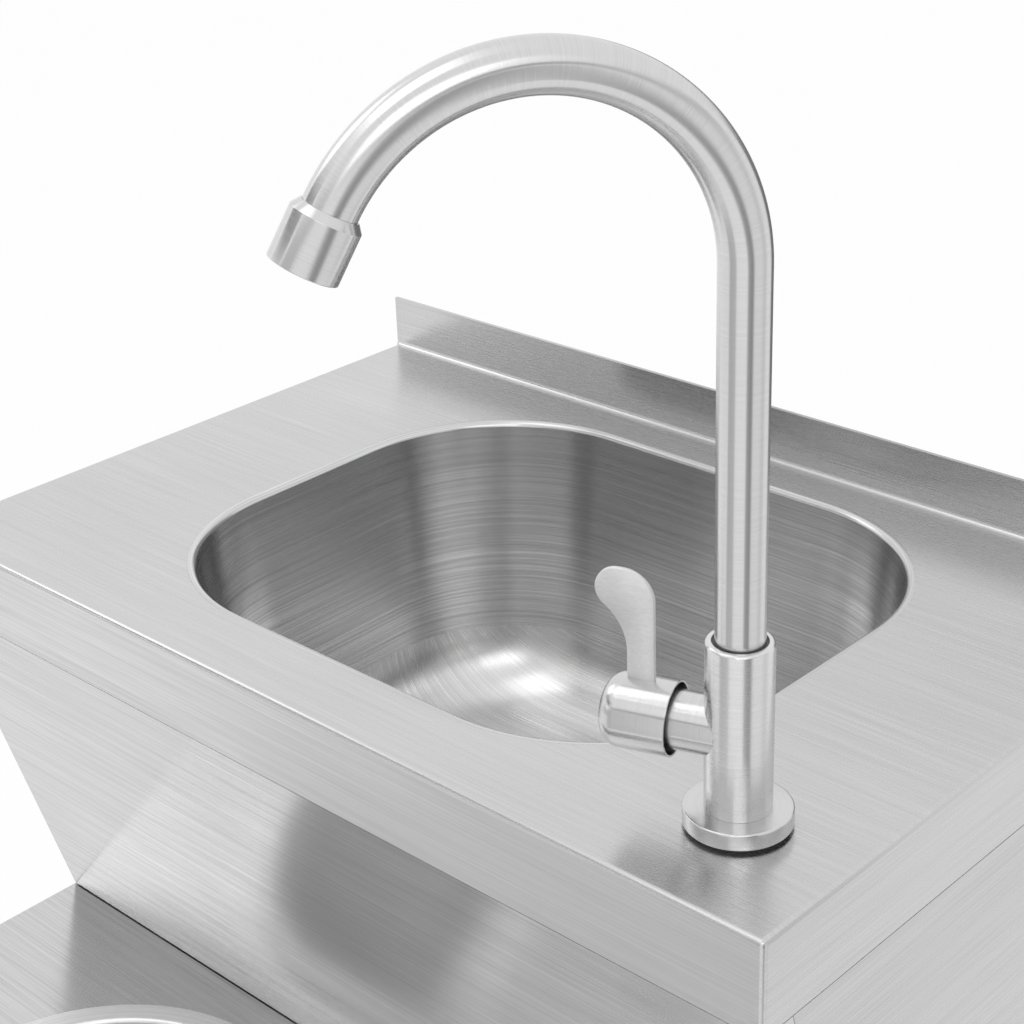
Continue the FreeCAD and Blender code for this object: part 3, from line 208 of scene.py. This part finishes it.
# ------------------------------------------------ materials
NOISE_SPAN = (0.3, 0.7)  # the values that nearly all of a noise lies between
FINE_SHARE = 0.7  # of the fine lines in the brush's pattern, against the broad ones
CLOUD_SCALE = 9.0  # of the soft patches in the steel, per metre
CLOUD = 0.02
LIGHT_SCRATCHES = (0.60, 0.74)
DARK_SCRATCHES = (0.38, 0.26)
RELIEF_DEPTH = 0.0001
ACROSS_THE_MAP = 0.25  # of a turn, from U to V
SIDEWAYS = 0.72  # how far a normal leans along X on the faces whose grain runs along Y
FRONTWARDS = (-0.94, -0.995)  # the normal's Y, from none of the front's painted brightening and extra roughness to all of it
MIX_A, MIX_B, MIX_RESULT = 4, 5, 1  # the Mix node's sockets for vectors, found by their place


def feed(tree, socket, value):
    """Link a node's output to a socket, or write a plain value on it."""
    if isinstance(value, bpy.types.NodeSocket):
        tree.links.new(value, socket)
    else:
        socket.default_value = value


def math_node(tree, kind, a, b=None):
    node = tree.nodes.new("ShaderNodeMath")
    node.operation = kind
    for socket, value in zip(node.inputs, (a, b)):
        if value is not None:
            feed(tree, socket, value)
    return node.outputs[0]


def choose(tree, factor, a, b):
    """Vector a where the factor is 0, b where it is 1."""
    node = tree.nodes.new("ShaderNodeMix")
    node.data_type = "VECTOR"
    feed(tree, node.inputs["Factor"], factor)
    feed(tree, node.inputs[MIX_A], a)
    feed(tree, node.inputs[MIX_B], b)
    return node.outputs[MIX_RESULT]


def spread(tree, value, low, high, out_low, out_high):
    """Map a value from one span to another, and hold it at the ends."""
    node = tree.nodes.new("ShaderNodeMapRange")
    tree.links.new(value, node.inputs["Value"])
    for socket, amount in (("From Min", low), ("From Max", high), ("To Min", out_low),
                           ("To Max", out_high)):
        node.inputs[socket].default_value = amount
    return node.outputs["Result"]


def times(tree, level, factor):
    return math_node(tree, "MULTIPLY", level, factor)


def separate(tree, vector):
    node = tree.nodes.new("ShaderNodeSeparateXYZ")
    tree.links.new(vector, node.inputs[0])
    return node.outputs


def stretched_noise(tree, vector, scale, detail=3.0, rough=0.6):
    mapping = tree.nodes.new("ShaderNodeMapping")
    mapping.inputs["Scale"].default_value = scale
    tree.links.new(vector, mapping.inputs["Vector"])
    noise = tree.nodes.new("ShaderNodeTexNoise")
    noise.inputs["Scale"].default_value = 1.0
    noise.inputs["Detail"].default_value = detail
    noise.inputs["Roughness"].default_value = rough
    tree.links.new(mapping.outputs[0], noise.inputs["Vector"])
    return noise.outputs["Fac"]


def brush_on_sheet(tree):
    """Grain along X, or along Y where a face looks sideways, and the tangent across the grain."""
    coordinates = tree.nodes.new("ShaderNodeTexCoord")
    normal, place = coordinates.outputs["Normal"], coordinates.outputs["Object"]
    lean = math_node(tree, "ABSOLUTE", separate(tree, normal)[0])
    turned = math_node(tree, "GREATER_THAN", lean, SIDEWAYS)
    swapped = tree.nodes.new("ShaderNodeCombineXYZ")
    along_x, along_y, up = separate(tree, place)
    for source, socket in zip((along_y, along_x, up), swapped.inputs):
        tree.links.new(source, socket)
    source = choose(tree, turned, place, swapped.outputs[0])
    brush = choose(tree, turned, (1.0, 0.0, 0.0), (0.0, 1.0, 0.0))
    tangent = tree.nodes.new("ShaderNodeVectorMath")
    tangent.operation = "CROSS_PRODUCT"
    tree.links.new(normal, tangent.inputs[0])
    tree.links.new(brush, tangent.inputs[1])
    return source, tangent.outputs["Vector"]


def brush_on_uv(tree):
    """Grain along U of the piece's own brush map, and that map's tangent."""
    source = tree.nodes.new("ShaderNodeTexCoord").outputs["UV"]
    tangent = tree.nodes.new("ShaderNodeTangent")
    tangent.direction_type = "UV_MAP"
    tangent.uv_map = "brush"
    return source, tangent.outputs[0]


def on_the_front(tree):
    """1 on faces below the deck's top that look to the front, and 0 on the others."""
    coordinates = tree.nodes.new("ShaderNodeTexCoord")
    facing = separate(tree, coordinates.outputs["Normal"])[1]
    height = separate(tree, coordinates.outputs["Object"])[2]
    return times(tree, spread(tree, facing, *FRONTWARDS, 0.0, 1.0),
                 math_node(tree, "LESS_THAN", height, DECK_HEIGHT * MM))


def new_material(name, metallic):
    material = bpy.data.materials.new(name)
    material.use_nodes = True
    tree = material.node_tree
    shader = tree.nodes["Principled BSDF"]
    shader.inputs["Metallic"].default_value = metallic
    return material, tree, shader


def set_surface(tree, shader, colour, gloss, height, bump):
    """Link the colour's three levels and the roughness, and the relief where there is one."""
    together = tree.nodes.new("ShaderNodeCombineColor")
    for channel, level in zip(("Red", "Green", "Blue"), colour):
        tree.links.new(level, together.inputs[channel])
    tree.links.new(together.outputs[0], shader.inputs["Base Color"])
    tree.links.new(gloss, shader.inputs["Roughness"])
    if bump:
        relief = tree.nodes.new("ShaderNodeBump")
        relief.inputs["Strength"].default_value = bump
        relief.inputs["Distance"].default_value = RELIEF_DEPTH
        tree.links.new(height, relief.inputs["Height"])
        tree.links.new(relief.outputs[0], shader.inputs["Normal"])


def brushed(name, grey, rough, grain, lay="sheet", contrast=0.08, bump=0.1, anisotropy=0.7,
            scratch=0.0, streak=0.0, front=None):
    """Brushed stainless steel. grain is its frequency per metre, (along the brush, across it).
    front is how much the deck's front fascia is painted brighter than its top, as painted light,
    and how much duller it is."""
    material, tree, shader = new_material(name, 1.0)
    shader.inputs["Anisotropic"].default_value = anisotropy
    if lay == "uv":
        source, tangent = brush_on_uv(tree)
        shader.inputs["Anisotropic Rotation"].default_value = ACROSS_THE_MAP
    else:
        source, tangent = brush_on_sheet(tree)
    tree.links.new(tangent, shader.inputs["Tangent"])
    along, across = grain

    def lines(longer, wider, *how):
        """The brush's noise, with its lines made longer and wider by these shares."""
        scale = (along * longer, across * wider, across * wider)
        return stretched_noise(tree, source, scale, *how)

    cloud = stretched_noise(tree, source, (CLOUD_SCALE,) * 3, 1.0)
    mixed = math_node(tree, "ADD", times(tree, lines(1.0, 1.0), FINE_SHARE),
                      times(tree, lines(0.6, 0.3, 2.0), 1 - FINE_SHARE))
    level = spread(tree, mixed, *NOISE_SPAN, grey * (1 - contrast), grey * (1 + contrast))
    level = times(tree, level, spread(tree, cloud, *NOISE_SPAN, 1 - CLOUD, 1 + CLOUD))
    if streak:
        wide = lines(0.3, 0.03, 1.0)
        level = times(tree, level, spread(tree, wide, *NOISE_SPAN, 1 - streak, 1 + streak))
    if scratch:
        cuts = lines(0.4, 0.6, 5.0, 0.8)
        for kind, span in (("ADD", LIGHT_SCRATCHES), ("SUBTRACT", DARK_SCRATCHES)):
            level = math_node(tree, kind, level, spread(tree, cuts, *span, 0.0, scratch))
    gloss = spread(tree, mixed, *NOISE_SPAN, rough * 1.2, rough * 0.82)
    if front:
        painted_light_factor, duller = front
        folded = on_the_front(tree)
        # painted light: the colour on faces that look to the front is raised by the first factor, a
        # painted brightening; the second factor makes them rougher
        level = times(tree, level, spread(tree, folded, 0.0, 1.0, 1.0, painted_light_factor))
        gloss = times(tree, gloss, spread(tree, folded, 0.0, 1.0, 1.0, duller))
    set_surface(tree, shader, (level,) * 3, gloss, mixed, bump)
    return material


def grained(name, colour, rough, scale, contrast=0.08, metallic=0.0):
    """Rubber, plastic or cast metal with an even fine grain."""
    material, tree, shader = new_material(name, metallic)
    source = tree.nodes.new("ShaderNodeTexCoord").outputs["Object"]
    fine = stretched_noise(tree, source, (scale, scale, scale))
    levels = [spread(tree, fine, *NOISE_SPAN, amount * (1 - contrast), amount * (1 + contrast))
              for amount in colour]
    gloss = spread(tree, fine, *NOISE_SPAN, rough * 0.85, rough * 1.15)
    set_surface(tree, shader, levels, gloss, fine, bump=0.15)
    return material


sheet_steel = brushed("steel_sheet", 0.585, 0.27, (12.0, 1700.0), contrast=0.09, bump=0.03,
                      scratch=0.04)
# painted light: the front fascia's colour is painted 1.2 times brighter than the top; it is also
# twice as rough
deck_steel = brushed("steel_deck", 0.61, 0.26, (12.0, 1700.0), contrast=0.09, bump=0.03,
                     scratch=0.04, front=(1.2, 2.0))
panel_steel = brushed("steel_panel", 0.60, 0.20, (12.0, 1400.0), contrast=0.17, bump=0.04,
                      scratch=0.12, anisotropy=0.5)
plain_sheet = brushed("steel_inner_sheet", 0.6, 0.38, (16.0, 1300.0))
bowl_steel = brushed("steel_bowl", 0.62, 0.24, (7.0, 900.0), lay="uv", contrast=0.30, bump=0.08,
                     scratch=0.30, streak=0.03)
# painted light: the floor's steel is a brighter copy of the wall's steel (0.67 against 0.62), a
# painted brighter floor; its brush direction and roughness are its own
floor_steel_painted_light = brushed("steel_bowl_floor_painted_light", 0.67, 0.28, (10.0, 1000.0), lay="uv", contrast=0.14,
                      bump=0.06, scratch=0.16, streak=0.03, anisotropy=0.6)
# painted light: the bucket bowl's steel is painted far brighter than the hand basin's (0.84 against
# 0.62), so that it looks brighter
bucket_steel_painted_light = brushed("steel_bucket_painted_light", 0.84, 0.42, (7.0, 1000.0), lay="uv", contrast=0.14,
                       bump=0.08, scratch=0.12, streak=0.03, anisotropy=0.4)
tap_steel = brushed("steel_tap", 0.66, 0.22, (10.0, 1700.0), lay="uv", contrast=0.05, bump=0.0,
                    anisotropy=0.85)
body_steel = brushed("steel_tap_body", 0.72, 0.25, (10.0, 1700.0), lay="uv", contrast=0.04,
                     bump=0.0, anisotropy=0.8)
# painted light: the blade's steel is painted brighter than the tap's (0.76 against 0.66), so that
# the blade looks brighter
blade_steel_painted_light = brushed("steel_blade_painted_light", 0.76, 0.6, (40.0, 1300.0), contrast=0.03, bump=0.03,
                      anisotropy=0.2)
bright_steel = brushed("steel_bright", 0.62, 0.25, (60.0, 900.0), contrast=0.05, bump=0.04,
                       anisotropy=0.3)
foot_steel = brushed("steel_turned", 0.5, 0.32, (60.0, 900.0), contrast=0.08, anisotropy=0.3)
black_rubber = grained("rubber_black", (0.03, 0.03, 0.03), 0.6, 900.0)
black_plastic = grained("plastic_black", (0.07, 0.07, 0.07), 0.4, 600.0)
brass = grained("brass_machined", (0.7, 0.52, 0.25), 0.3, 700.0, metallic=1.0)
white_plastic = grained("plastic_white", (0.82, 0.82, 0.8), 0.42, 500.0, contrast=0.03)
grey_plastic = grained("plastic_grey", (0.45, 0.46, 0.47), 0.45, 500.0, contrast=0.04)

# ------------------------------------------------ finishes of the CAD nodes
SLOT_FINISH = {
    "sheet_steel": sheet_steel, "bowl_steel": sheet_steel, "tap_steel": bright_steel,
    "bright_steel": bright_steel, "foot_steel": foot_steel, "black_rubber": black_rubber,
    "brass": brass, "white_plastic": white_plastic, "grey_plastic": grey_plastic,
    "black_plastic": black_plastic,
}
NODE_FINISH = {
    "rear_rail": plain_sheet, "base_frame": plain_sheet, "tap_stiffener": plain_sheet,
    "leg_tubes": plain_sheet, "splash_panel": panel_steel, "lower_deck": panel_steel,
    "upper_deck": deck_steel,
}


def dress(piece, material):
    piece.data.materials.clear()
    piece.data.materials.append(material)


def wear(piece, material, slot, body, *nodes):
    """Give a piece its finish, let it move with its body and stand for its CAD nodes."""
    dress(piece, material)
    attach(piece, body)
    if nodes:
        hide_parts(*nodes)


for row in frame["record"]["subparts"]:
    dress(frame["nodes"][row["node"]],
          NODE_FINISH.get(row["node"], SLOT_FINISH[row["material_slot"]]))

# ------------------------------------------------ bowls
CORNER_TURNS = [math.radians(start + 90.0 * k / CORNER_STEPS) for start in (0, 90, 180, 270)
                for k in range(CORNER_STEPS + 1)]


def bowl_loop(bowl, inset, height):
    """A bowl's outline at an inset from its mouth, as (x, y, z) points."""
    half_x, half_y = bowl["half"]
    x, y, r = half_x - inset, half_y - inset, bowl["corner"] - inset
    centres = [(x - r, y - r), (r - x, y - r), (r - x, r - y), (x - r, r - y)]
    loop = []
    for number, turn in enumerate(CORNER_TURNS):
        cx, cy = centres[number // (CORNER_STEPS + 1)]
        loop.append((cx + r * math.cos(turn), cy + r * math.sin(turn), height))
    return loop


def disc_loop(radius, height, like):
    """A circle whose points lie in the same directions as those of another loop."""
    return [(radius * math.cos(math.atan2(y, x)), radius * math.sin(math.atan2(y, x)), height)
            for x, y, _ in like]


def wall_line(bowl, grow):
    """(inset, height) points down a wall and out on the floor, grown outwards from the inside."""
    low = bowl["depth"] + grow
    foot = (low - RIM_UNDER) * math.tan(math.radians(BOWL_DRAFT)) - grow
    corners = [(-grow, -RIM_UNDER, 0), (foot, -low, BOWL_ROUND + grow),
               (bowl["corner"] - FLOOR_CORNER, -low, 0)]
    return rounded(corners, FLOOR_ROUND_STEPS, closed=False)


def bowl_rows(bowl):
    """A pressed bowl's loops from its rim to its drain and back up outside, and the rim's count."""
    depth, rim, rise, roll = bowl["depth"], bowl["rim"], bowl["rise"], bowl["roll"]
    outer_roll = roll if rise > 0 else 0
    mouth = [(-rim, -RIM_UNDER, 0), (-rim, rise, outer_roll), (0, rise, roll), (0, -RIM_UNDER, 0)]
    mouth = rounded(mouth, RIM_STEPS, closed=False)
    inside = mouth + wall_line(bowl, 0.0)[1:]
    rows = [bowl_loop(bowl, inset, height) for inset, height in inside]
    like = rows[-1]
    sink = depth + SINK_DEPTH
    recess = bowl["grid"] + GRID_GAP
    rings = [(recess + SINK_EDGE, -depth), (recess, -depth - SINK_EDGE), (recess, -sink),
             (bowl["drain"], -sink), (bowl["drain"], -sink - BOWL_GAUGE),
             (recess + BOWL_GAUGE, -sink - BOWL_GAUGE), (recess + BOWL_GAUGE, -depth - BOWL_GAUGE)]
    rows += [disc_loop(radius, height, like) for radius, height in rings]
    rows += [bowl_loop(bowl, inset, height)
             for inset, height in reversed(wall_line(bowl, BOWL_GAUGE))]
    return rows, len(mouth)


def make_bowl(name, bowl):
    """A pressed bowl as a closed shell: rim, drafted wall, round floor, recess and drain."""
    rows, rim_rows = bowl_rows(bowl)
    girth = rows[rim_rows // 2]
    round_it = lengths(girth + girth[:1])
    down = lengths([row[0] for row in rows])
    down.append(down[-1])
    heights = [row[0][2] for row in rows] + [-RIM_UNDER]
    flat = next(number for number, height in enumerate(heights) if height < HAIR - bowl["depth"])

    def uvs(row, column, quad_row):
        """Brushed round the wall, and along X on the floor, which is laid out flat."""
        if (heights[quad_row] + heights[quad_row + 1]) / 2 > -FLOOR_BRUSH:
            return (round_it[column] * MM, down[row] * MM)
        loop = rows[row % len(rows)]
        column %= len(loop)
        x, y, _ = loop[column]
        # on the wall the way down is longer than it looks from above, and spare is the difference
        spare = (down[flat] - down[row]) - (loop[0][0] - rows[flat][0][0]) if row < flat else 0
        turn = CORNER_TURNS[column]
        return ((x + math.cos(turn) * spare) * MM, (y + math.sin(turn) * spare) * MM)

    return grid_piece(name, rows, uvs, Matrix.Translation(Vector(bowl["place"]) * MM))


def wear_bowl(piece, bowl, walls, floor, node):
    """Walls brushed round the bowl, and below the floor's brush line the floor's own steel, which
    in the hand basin has its own brush and roughness and is painted brighter as painted light.
    """
    wear(piece, walls, "bowl_steel", "cabinet", node)
    piece.data.materials.append(floor)
    line = (bowl["place"][2] - FLOOR_BRUSH) * MM
    for polygon in piece.data.polygons:
        polygon.material_index = 1 if polygon.center.z < line else 0


wear_bowl(make_bowl("basin_shell", HAND_BOWL), HAND_BOWL, bowl_steel, floor_steel_painted_light, "hand_basin")
wear_bowl(make_bowl("bucket_shell", BUCKET_BOWL), BUCKET_BOWL, bucket_steel_painted_light, bucket_steel_painted_light,
          "bucket_bowl")

# ------------------------------------------------ tap
gasket = lathe("base_gasket", [(SHANK_BORE, 0, 0), (19.0, 0, 0.2), (19.0, GASKET_TOP, 0.2),
                               (SHANK_BORE, GASKET_TOP, 0)], at_tap())
wear(gasket, black_rubber, "black_rubber", "cabinet", "tap_gasket")
flange = lathe("base_flange", [(SHANK_BORE, GASKET_TOP, 0), (20.2, GASKET_TOP, 0.3),
                               (20.2, FLANGE_TOP, 0.8), (SHANK_BORE, FLANGE_TOP, 0)],
               at_tap(), steps=6)
wear(flange, tap_steel, "tap_steel", "cabinet", "tap_flange")
column = lathe("tap_column", [
    (SHANK_BORE, FLANGE_TOP, 0), (12.4, FLANGE_TOP, 0.15), (12.4, COLUMN_TOP, 1.5),
    (10.0, COLUMN_TOP, 0.3), (10.0, 60.0, 0), (9.05, 60.0, 0), (9.05, 50.95, 0), (6.0, 50.95, 0),
    (6.0, 22.05, 0), (SHANK_BORE, 22.05, 0)], at_tap(), steps=7)
wear(column, body_steel, "tap_steel", "cabinet", "tap_body")
branch = lathe("valve_arm", [
    (8.45, 12.4, 0), (8.45, 31.7, 0), (8.75, 32.0, 0), (10.7, 32.0, 0.15), (11.0, 31.7, 0.1),
    (11.0, 6.0, 0), (8.45, 6.0, 0)], on_branch())
wear(branch, tap_steel, "tap_steel", "cabinet")
cap = lathe("cap_shell", [
    (13.2, 23.4, 0.25), (CAP_RADIUS, 23.4, 0.25), (CAP_RADIUS, CAP_END, 7.5), (0.0, CAP_END, 0),
    (0.0, 46.05, 0), (3.55, 46.05, 0), (3.55, 35.0, 0), (13.2, 35.0, 0.5)], on_branch(), steps=14)
wear(cap, tap_steel, "tap_steel", "lever", "lever_cap")


def blade_outline():
    """(x, z) points round the lever's paddle: foot, back, crown, head, chin and throat."""
    near, width, reach = 31.3, 10.4, 22.3
    foot = CAP_RADIUS - 1.5
    top, shoulder, neck = (CAP_RADIUS + height for height in (42.6, 30.6, 10.0))
    far = near + width
    crown = top - shoulder
    head = 8.4
    head_x, head_z = near + reach - head, top - head
    chin = math.radians(49.0)
    across = head_x + head * math.cos(chin) - far
    rise = head_z - head * math.sin(chin) - neck
    throat = (across * across + rise * rise) / (2 * across)
    sweep = math.atan2(rise, throat - across)
    outline = [(far, foot), (near, foot)]
    for k in range(BLADE_STEPS + 1):
        turn = math.pi - math.pi / 2 * k / BLADE_STEPS
        outline.append((near + crown + crown * math.cos(turn), shoulder + crown * math.sin(turn)))
    for k in range(BLADE_STEPS * 2 + 1):
        turn = math.pi / 2 - (math.pi / 2 + chin) * k / (BLADE_STEPS * 2)
        outline.append((head_x + head * math.cos(turn), head_z + head * math.sin(turn)))
    for k in range(1, BLADE_STEPS + 1):
        turn = math.pi - sweep * (1 - k / BLADE_STEPS)
        outline.append((far + throat + throat * math.cos(turn), neck + throat * math.sin(turn)))
    return outline


def make_blade():
    """The lever's flat paddle with rounded edges, in the valve's upright plane."""
    outline = blade_outline()
    count = len(outline)
    thick, edge = 2.0, 0.35
    layers = [(edge, -thick / 2), (0, edge - thick / 2), (0, thick / 2 - edge), (edge, thick / 2)]
    work = bmesh.new()
    verts = []
    for inset, y in layers:
        ring = []
        for number, spot in enumerate(outline):
            ahead = Vector(outline[(number + 1) % count]) - Vector(outline[number - 1])
            ahead.normalize()
            moved = Vector(spot) + Vector((ahead.y, -ahead.x)) * inset
            ring.append(work.verts.new(Vector((moved.x, y, moved.y)) * MM))
        verts.append(ring)
    for low, high in zip(verts, verts[1:]):
        for k in range(count):
            k2 = (k + 1) % count
            work.faces.new((low[k], low[k2], high[k2], high[k]))
    work.faces.new(verts[0])
    work.faces.new(verts[-1])
    return add_piece("lever_paddle", work, at_tap(VALVE_TURN, VALVE_HEIGHT), BLADE_SHARP_ANGLE)


wear(make_blade(), blade_steel_painted_light, "tap_steel", "lever", "lever_blade")


def pipe_stations():
    """(out, up, turn) along the gooseneck's middle: up, round the bend and into the aerator."""
    stations = [(0.0, PIPE_FOOT + (PIPE_STRAIGHT - PIPE_FOOT) * k / STRAIGHT_STEPS, 0.0)
                for k in range(STRAIGHT_STEPS + 1)]
    for k in range(1, BEND_STEPS + 1):
        turn = math.radians(BEND_ANGLE) * k / BEND_STEPS
        stations.append((BEND_RADIUS * (1 - math.cos(turn)),
                         PIPE_STRAIGHT + BEND_RADIUS * math.sin(turn), turn))
    x, z, turn = stations[-1]
    return stations + [(x + PIPE_TAIL * math.sin(turn), z + PIPE_TAIL * math.cos(turn), turn)]


def pipe_ring(station, radius):
    x, z, turn = station
    loop = []
    for k in range(PIPE_SIDES):
        angle = 2 * math.pi * k / PIPE_SIDES
        out, side = radius * math.cos(angle), radius * math.sin(angle)
        loop.append((x + out * math.cos(turn), side, z - out * math.sin(turn)))
    return loop


def make_pipe():
    """The gooseneck as a closed tube wall: up its outside and back down its bore."""
    stations = pipe_stations()
    rows = [pipe_ring(station, PIPE_RADIUS) for station in stations]
    rows += [pipe_ring(station, PIPE_RADIUS - PIPE_WALL) for station in reversed(stations)]
    run = lengths([(x, z) for x, z, _ in stations])
    run += [2 * run[-1] + PIPE_WALL - value for value in reversed(run)]
    run.append(run[-1] + PIPE_WALL)

    def uvs(row, column, _):
        return (2 * math.pi * PIPE_RADIUS * column / PIPE_SIDES * MM, run[row] * MM)

    return grid_piece("gooseneck", rows, uvs, at_tap(SPOUT_TURN))


wear(make_pipe(), tap_steel, "tap_steel", "spout", "spout_pipe")
aerator = lathe("mouth_sleeve", [
    (9.05, 0, 0), (9.5, 0, 0.1), (11.6, 2.8, 0.25), (11.6, 19.8, 0.4), (10.3, 19.8, 0.2),
    (10.3, 7.35, 0), (8.0, 7.35, 0), (8.0, 6.05, 0), (9.05, 6.05, 0)], at_mouth())
wear(aerator, tap_steel, "tap_steel", "spout", "aerator_housing")

# ------------------------------------------------ camera
CAMERA = Vector((0.57971, -0.47134, 1.27219))
AZIMUTH, ELEVATION, ROLL = (math.radians(a) for a in (44.01, 25.26, 2.23))
FOCAL_LENGTH = 72.92
SENSOR_WIDTH = 36.0
FARTHEST = 80.0


def aim_camera():
    forward = Vector((-math.sin(AZIMUTH) * math.cos(ELEVATION),
                      math.cos(AZIMUTH) * math.cos(ELEVATION), -math.sin(ELEVATION)))
    level_right = Vector((math.cos(AZIMUTH), math.sin(AZIMUTH), 0.0))
    level_down = forward.cross(level_right)
    right = level_right * math.cos(ROLL) + level_down * math.sin(ROLL)
    down = level_down * math.cos(ROLL) - level_right * math.sin(ROLL)
    lens = bpy.data.cameras.new("camera")
    lens.lens = FOCAL_LENGTH
    lens.sensor_width = SENSOR_WIDTH
    lens.sensor_fit = "HORIZONTAL"
    lens.clip_end = FARTHEST
    camera = add_object("camera", lens)
    camera.matrix_world = Matrix((
        (right.x, -down.x, -forward.x, CAMERA.x),
        (right.y, -down.y, -forward.y, CAMERA.y),
        (right.z, -down.z, -forward.z, CAMERA.z),
        (0, 0, 0, 1)))
    bpy.context.scene.camera = camera


# ------------------------------------------------ studio, in metres
SKY_LEVEL = 0.95
FLOOR_WHITE = 0.86  # how much of its white the floor shows as a background
FLOOR_GREY = 0.94
FLOOR_ROUGHNESS = 0.9
FLOOR_HALF = 40
RING_RADIUS = 1.25
CARD_RADIUS = RING_RADIUS * 0.98
RING_FOOT, RING_TOP = 0.002, 1.28
CARD_STEP = 5  # degrees of a ring or card to one flat face
# direction from +X in degrees and brightness of the ring's soft bright and dark lengths
RING = [(-180, 1.0), (-116, 1.0), (-108, 0.55), (-84, 0.60), (-74, 1.0), (-38, 1.0), (-29, 0.40),
        (-17, 0.30), (-7, 0.9), (14, 0.9), (30, 0.75), (46, 0.97), (64, 0.97), (72, 0.20),
        (114, 0.20), (128, 1.0), (180, 1.0)]
# first and last direction, foot, top and brightness of the cards in front of and above the ring
CARDS = [(-150, -112, 0.80, 1.08, 0.65), (-165, -112, 1.09, 1.36, 1.2),
         (-160, -112, 1.37, 1.64, 0.0), (-105, 40, 1.32, 1.50, 0.5)]
# name, place, size and power of the lamps, which all look at the same spot
LAMPS = [("key", (-1.9, -0.35, 2.3), (1.0, 1.0), 3.4),
         ("fill", (1.27, -1.15, 2.14), (1.3, 0.8), 3.95),
         ("top", (-0.3, -0.5, 2.55), (1.0, 1.0), 2.7)]
LAMP_TARGET = (0, 0, 0.8)


def seen_background(tree):
    """1 for the rays that show the background: seen, mirrored or through glass."""
    path = tree.nodes.new("ShaderNodeLightPath")
    seen = math_node(tree, "MAXIMUM", path.outputs["Is Camera Ray"], path.outputs["Is Glossy Ray"])
    return math_node(tree, "MAXIMUM", seen, path.outputs["Is Transmission Ray"])


def stage_mesh(name, spots, faces):
    """A piece of the studio, which isn't part of the object."""
    mesh = bpy.data.meshes.new(name)
    mesh.from_pydata(spots, [], faces)
    piece = add_object(name, mesh)
    return piece


def studio_floor():
    half = FLOOR_HALF
    spots = [(-half, -half, 0), (half, -half, 0), (half, half, 0), (-half, half, 0)]
    piece = stage_mesh("studio_floor", spots, [(0, 1, 2, 3)])
    material, tree, shader = new_material("floor_pale", 0.0)
    shader.inputs["Base Color"].default_value = (FLOOR_GREY, FLOOR_GREY, FLOOR_GREY, 1)
    shader.inputs["Roughness"].default_value = FLOOR_ROUGHNESS
    glow = tree.nodes.new("ShaderNodeEmission")
    mix = tree.nodes.new("ShaderNodeMixShader")
    for source, socket in zip((times(tree, seen_background(tree), FLOOR_WHITE), shader.outputs[0],
                               glow.outputs[0]), mix.inputs):
        tree.links.new(source, socket)
    tree.links.new(mix.outputs[0], tree.nodes["Material Output"].inputs["Surface"])
    piece.data.materials.append(material)


def card(name, first, last, low, high, radius):
    """A soft card round the object from one direction to another, which only gloss mirrors."""
    count = max(2, round((last - first) / CARD_STEP))
    spots = []
    for k in range(count + 1):
        angle = math.radians(first + (last - first) * k / count)
        x, y = radius * math.cos(angle), radius * math.sin(angle)
        spots += [(x, y, low), (x, y, high)]
    piece = stage_mesh(name, spots, [(2 * k, 2 * k + 2, 2 * k + 3, 2 * k + 1)
                                     for k in range(count)])
    material = bpy.data.materials.new(name)
    material.use_nodes = True
    tree = material.node_tree
    tree.nodes.remove(tree.nodes["Principled BSDF"])
    glow = tree.nodes.new("ShaderNodeEmission")
    tree.links.new(glow.outputs[0], tree.nodes["Material Output"].inputs["Surface"])
    piece.data.materials.append(material)
    piece.visible_camera = False
    piece.visible_diffuse = False
    piece.visible_transmission = False
    piece.visible_shadow = False
    return tree, glow


def studio_cards():
    """The ring, whose brightness changes with the direction, and the cards."""
    tree, glow = card("studio_ring", -180, 180, RING_FOOT, RING_TOP, RING_RADIUS)
    turn = tree.nodes.new("ShaderNodeTexGradient")
    turn.gradient_type = "RADIAL"
    tree.links.new(tree.nodes.new("ShaderNodeTexCoord").outputs["Object"], turn.inputs[0])
    ramp = tree.nodes.new("ShaderNodeValToRGB")
    ramp.color_ramp.interpolation = "EASE"
    stops = ramp.color_ramp.elements
    for number, (angle, level) in enumerate(RING):
        spot = angle / 360 + 0.5
        stop = stops[number] if number < 2 else stops.new(spot)
        stop.position = spot
        stop.color = (level, level, level, 1)
    tree.links.new(turn.outputs["Fac"], ramp.inputs[0])
    tree.links.new(ramp.outputs[0], glow.inputs["Color"])
    for number, (first, last, low, high, level) in enumerate(CARDS):
        _, glow = card(f"studio_card_{number}", first, last, low, high, CARD_RADIUS)
        glow.inputs["Strength"].default_value = level


def studio_sky():
    world = bpy.data.worlds.new("studio")
    bpy.context.scene.world = world
    world.use_nodes = True
    tree = world.node_tree
    sky = tree.nodes["Background"]
    sky.inputs["Color"].default_value = (1, 1, 1, 1)
    tree.links.new(spread(tree, seen_background(tree), 0.0, 1.0, SKY_LEVEL, 1.0),
                   sky.inputs["Strength"])


def lamp(name, spot, size, power):
    data = bpy.data.lights.new(name, "AREA")
    data.shape = "RECTANGLE"
    data.size, data.size_y = size
    data.energy = power
    item = add_object(name, data)
    item.location = spot
    aim = Vector(LAMP_TARGET) - Vector(spot)
    item.rotation_euler = aim.to_track_quat("-Z", "Y").to_euler()


bpy.context.scene.view_settings.view_transform = "Standard"
aim_camera()
studio_floor()
studio_cards()
studio_sky()
for row in LAMPS:
    lamp(*row)
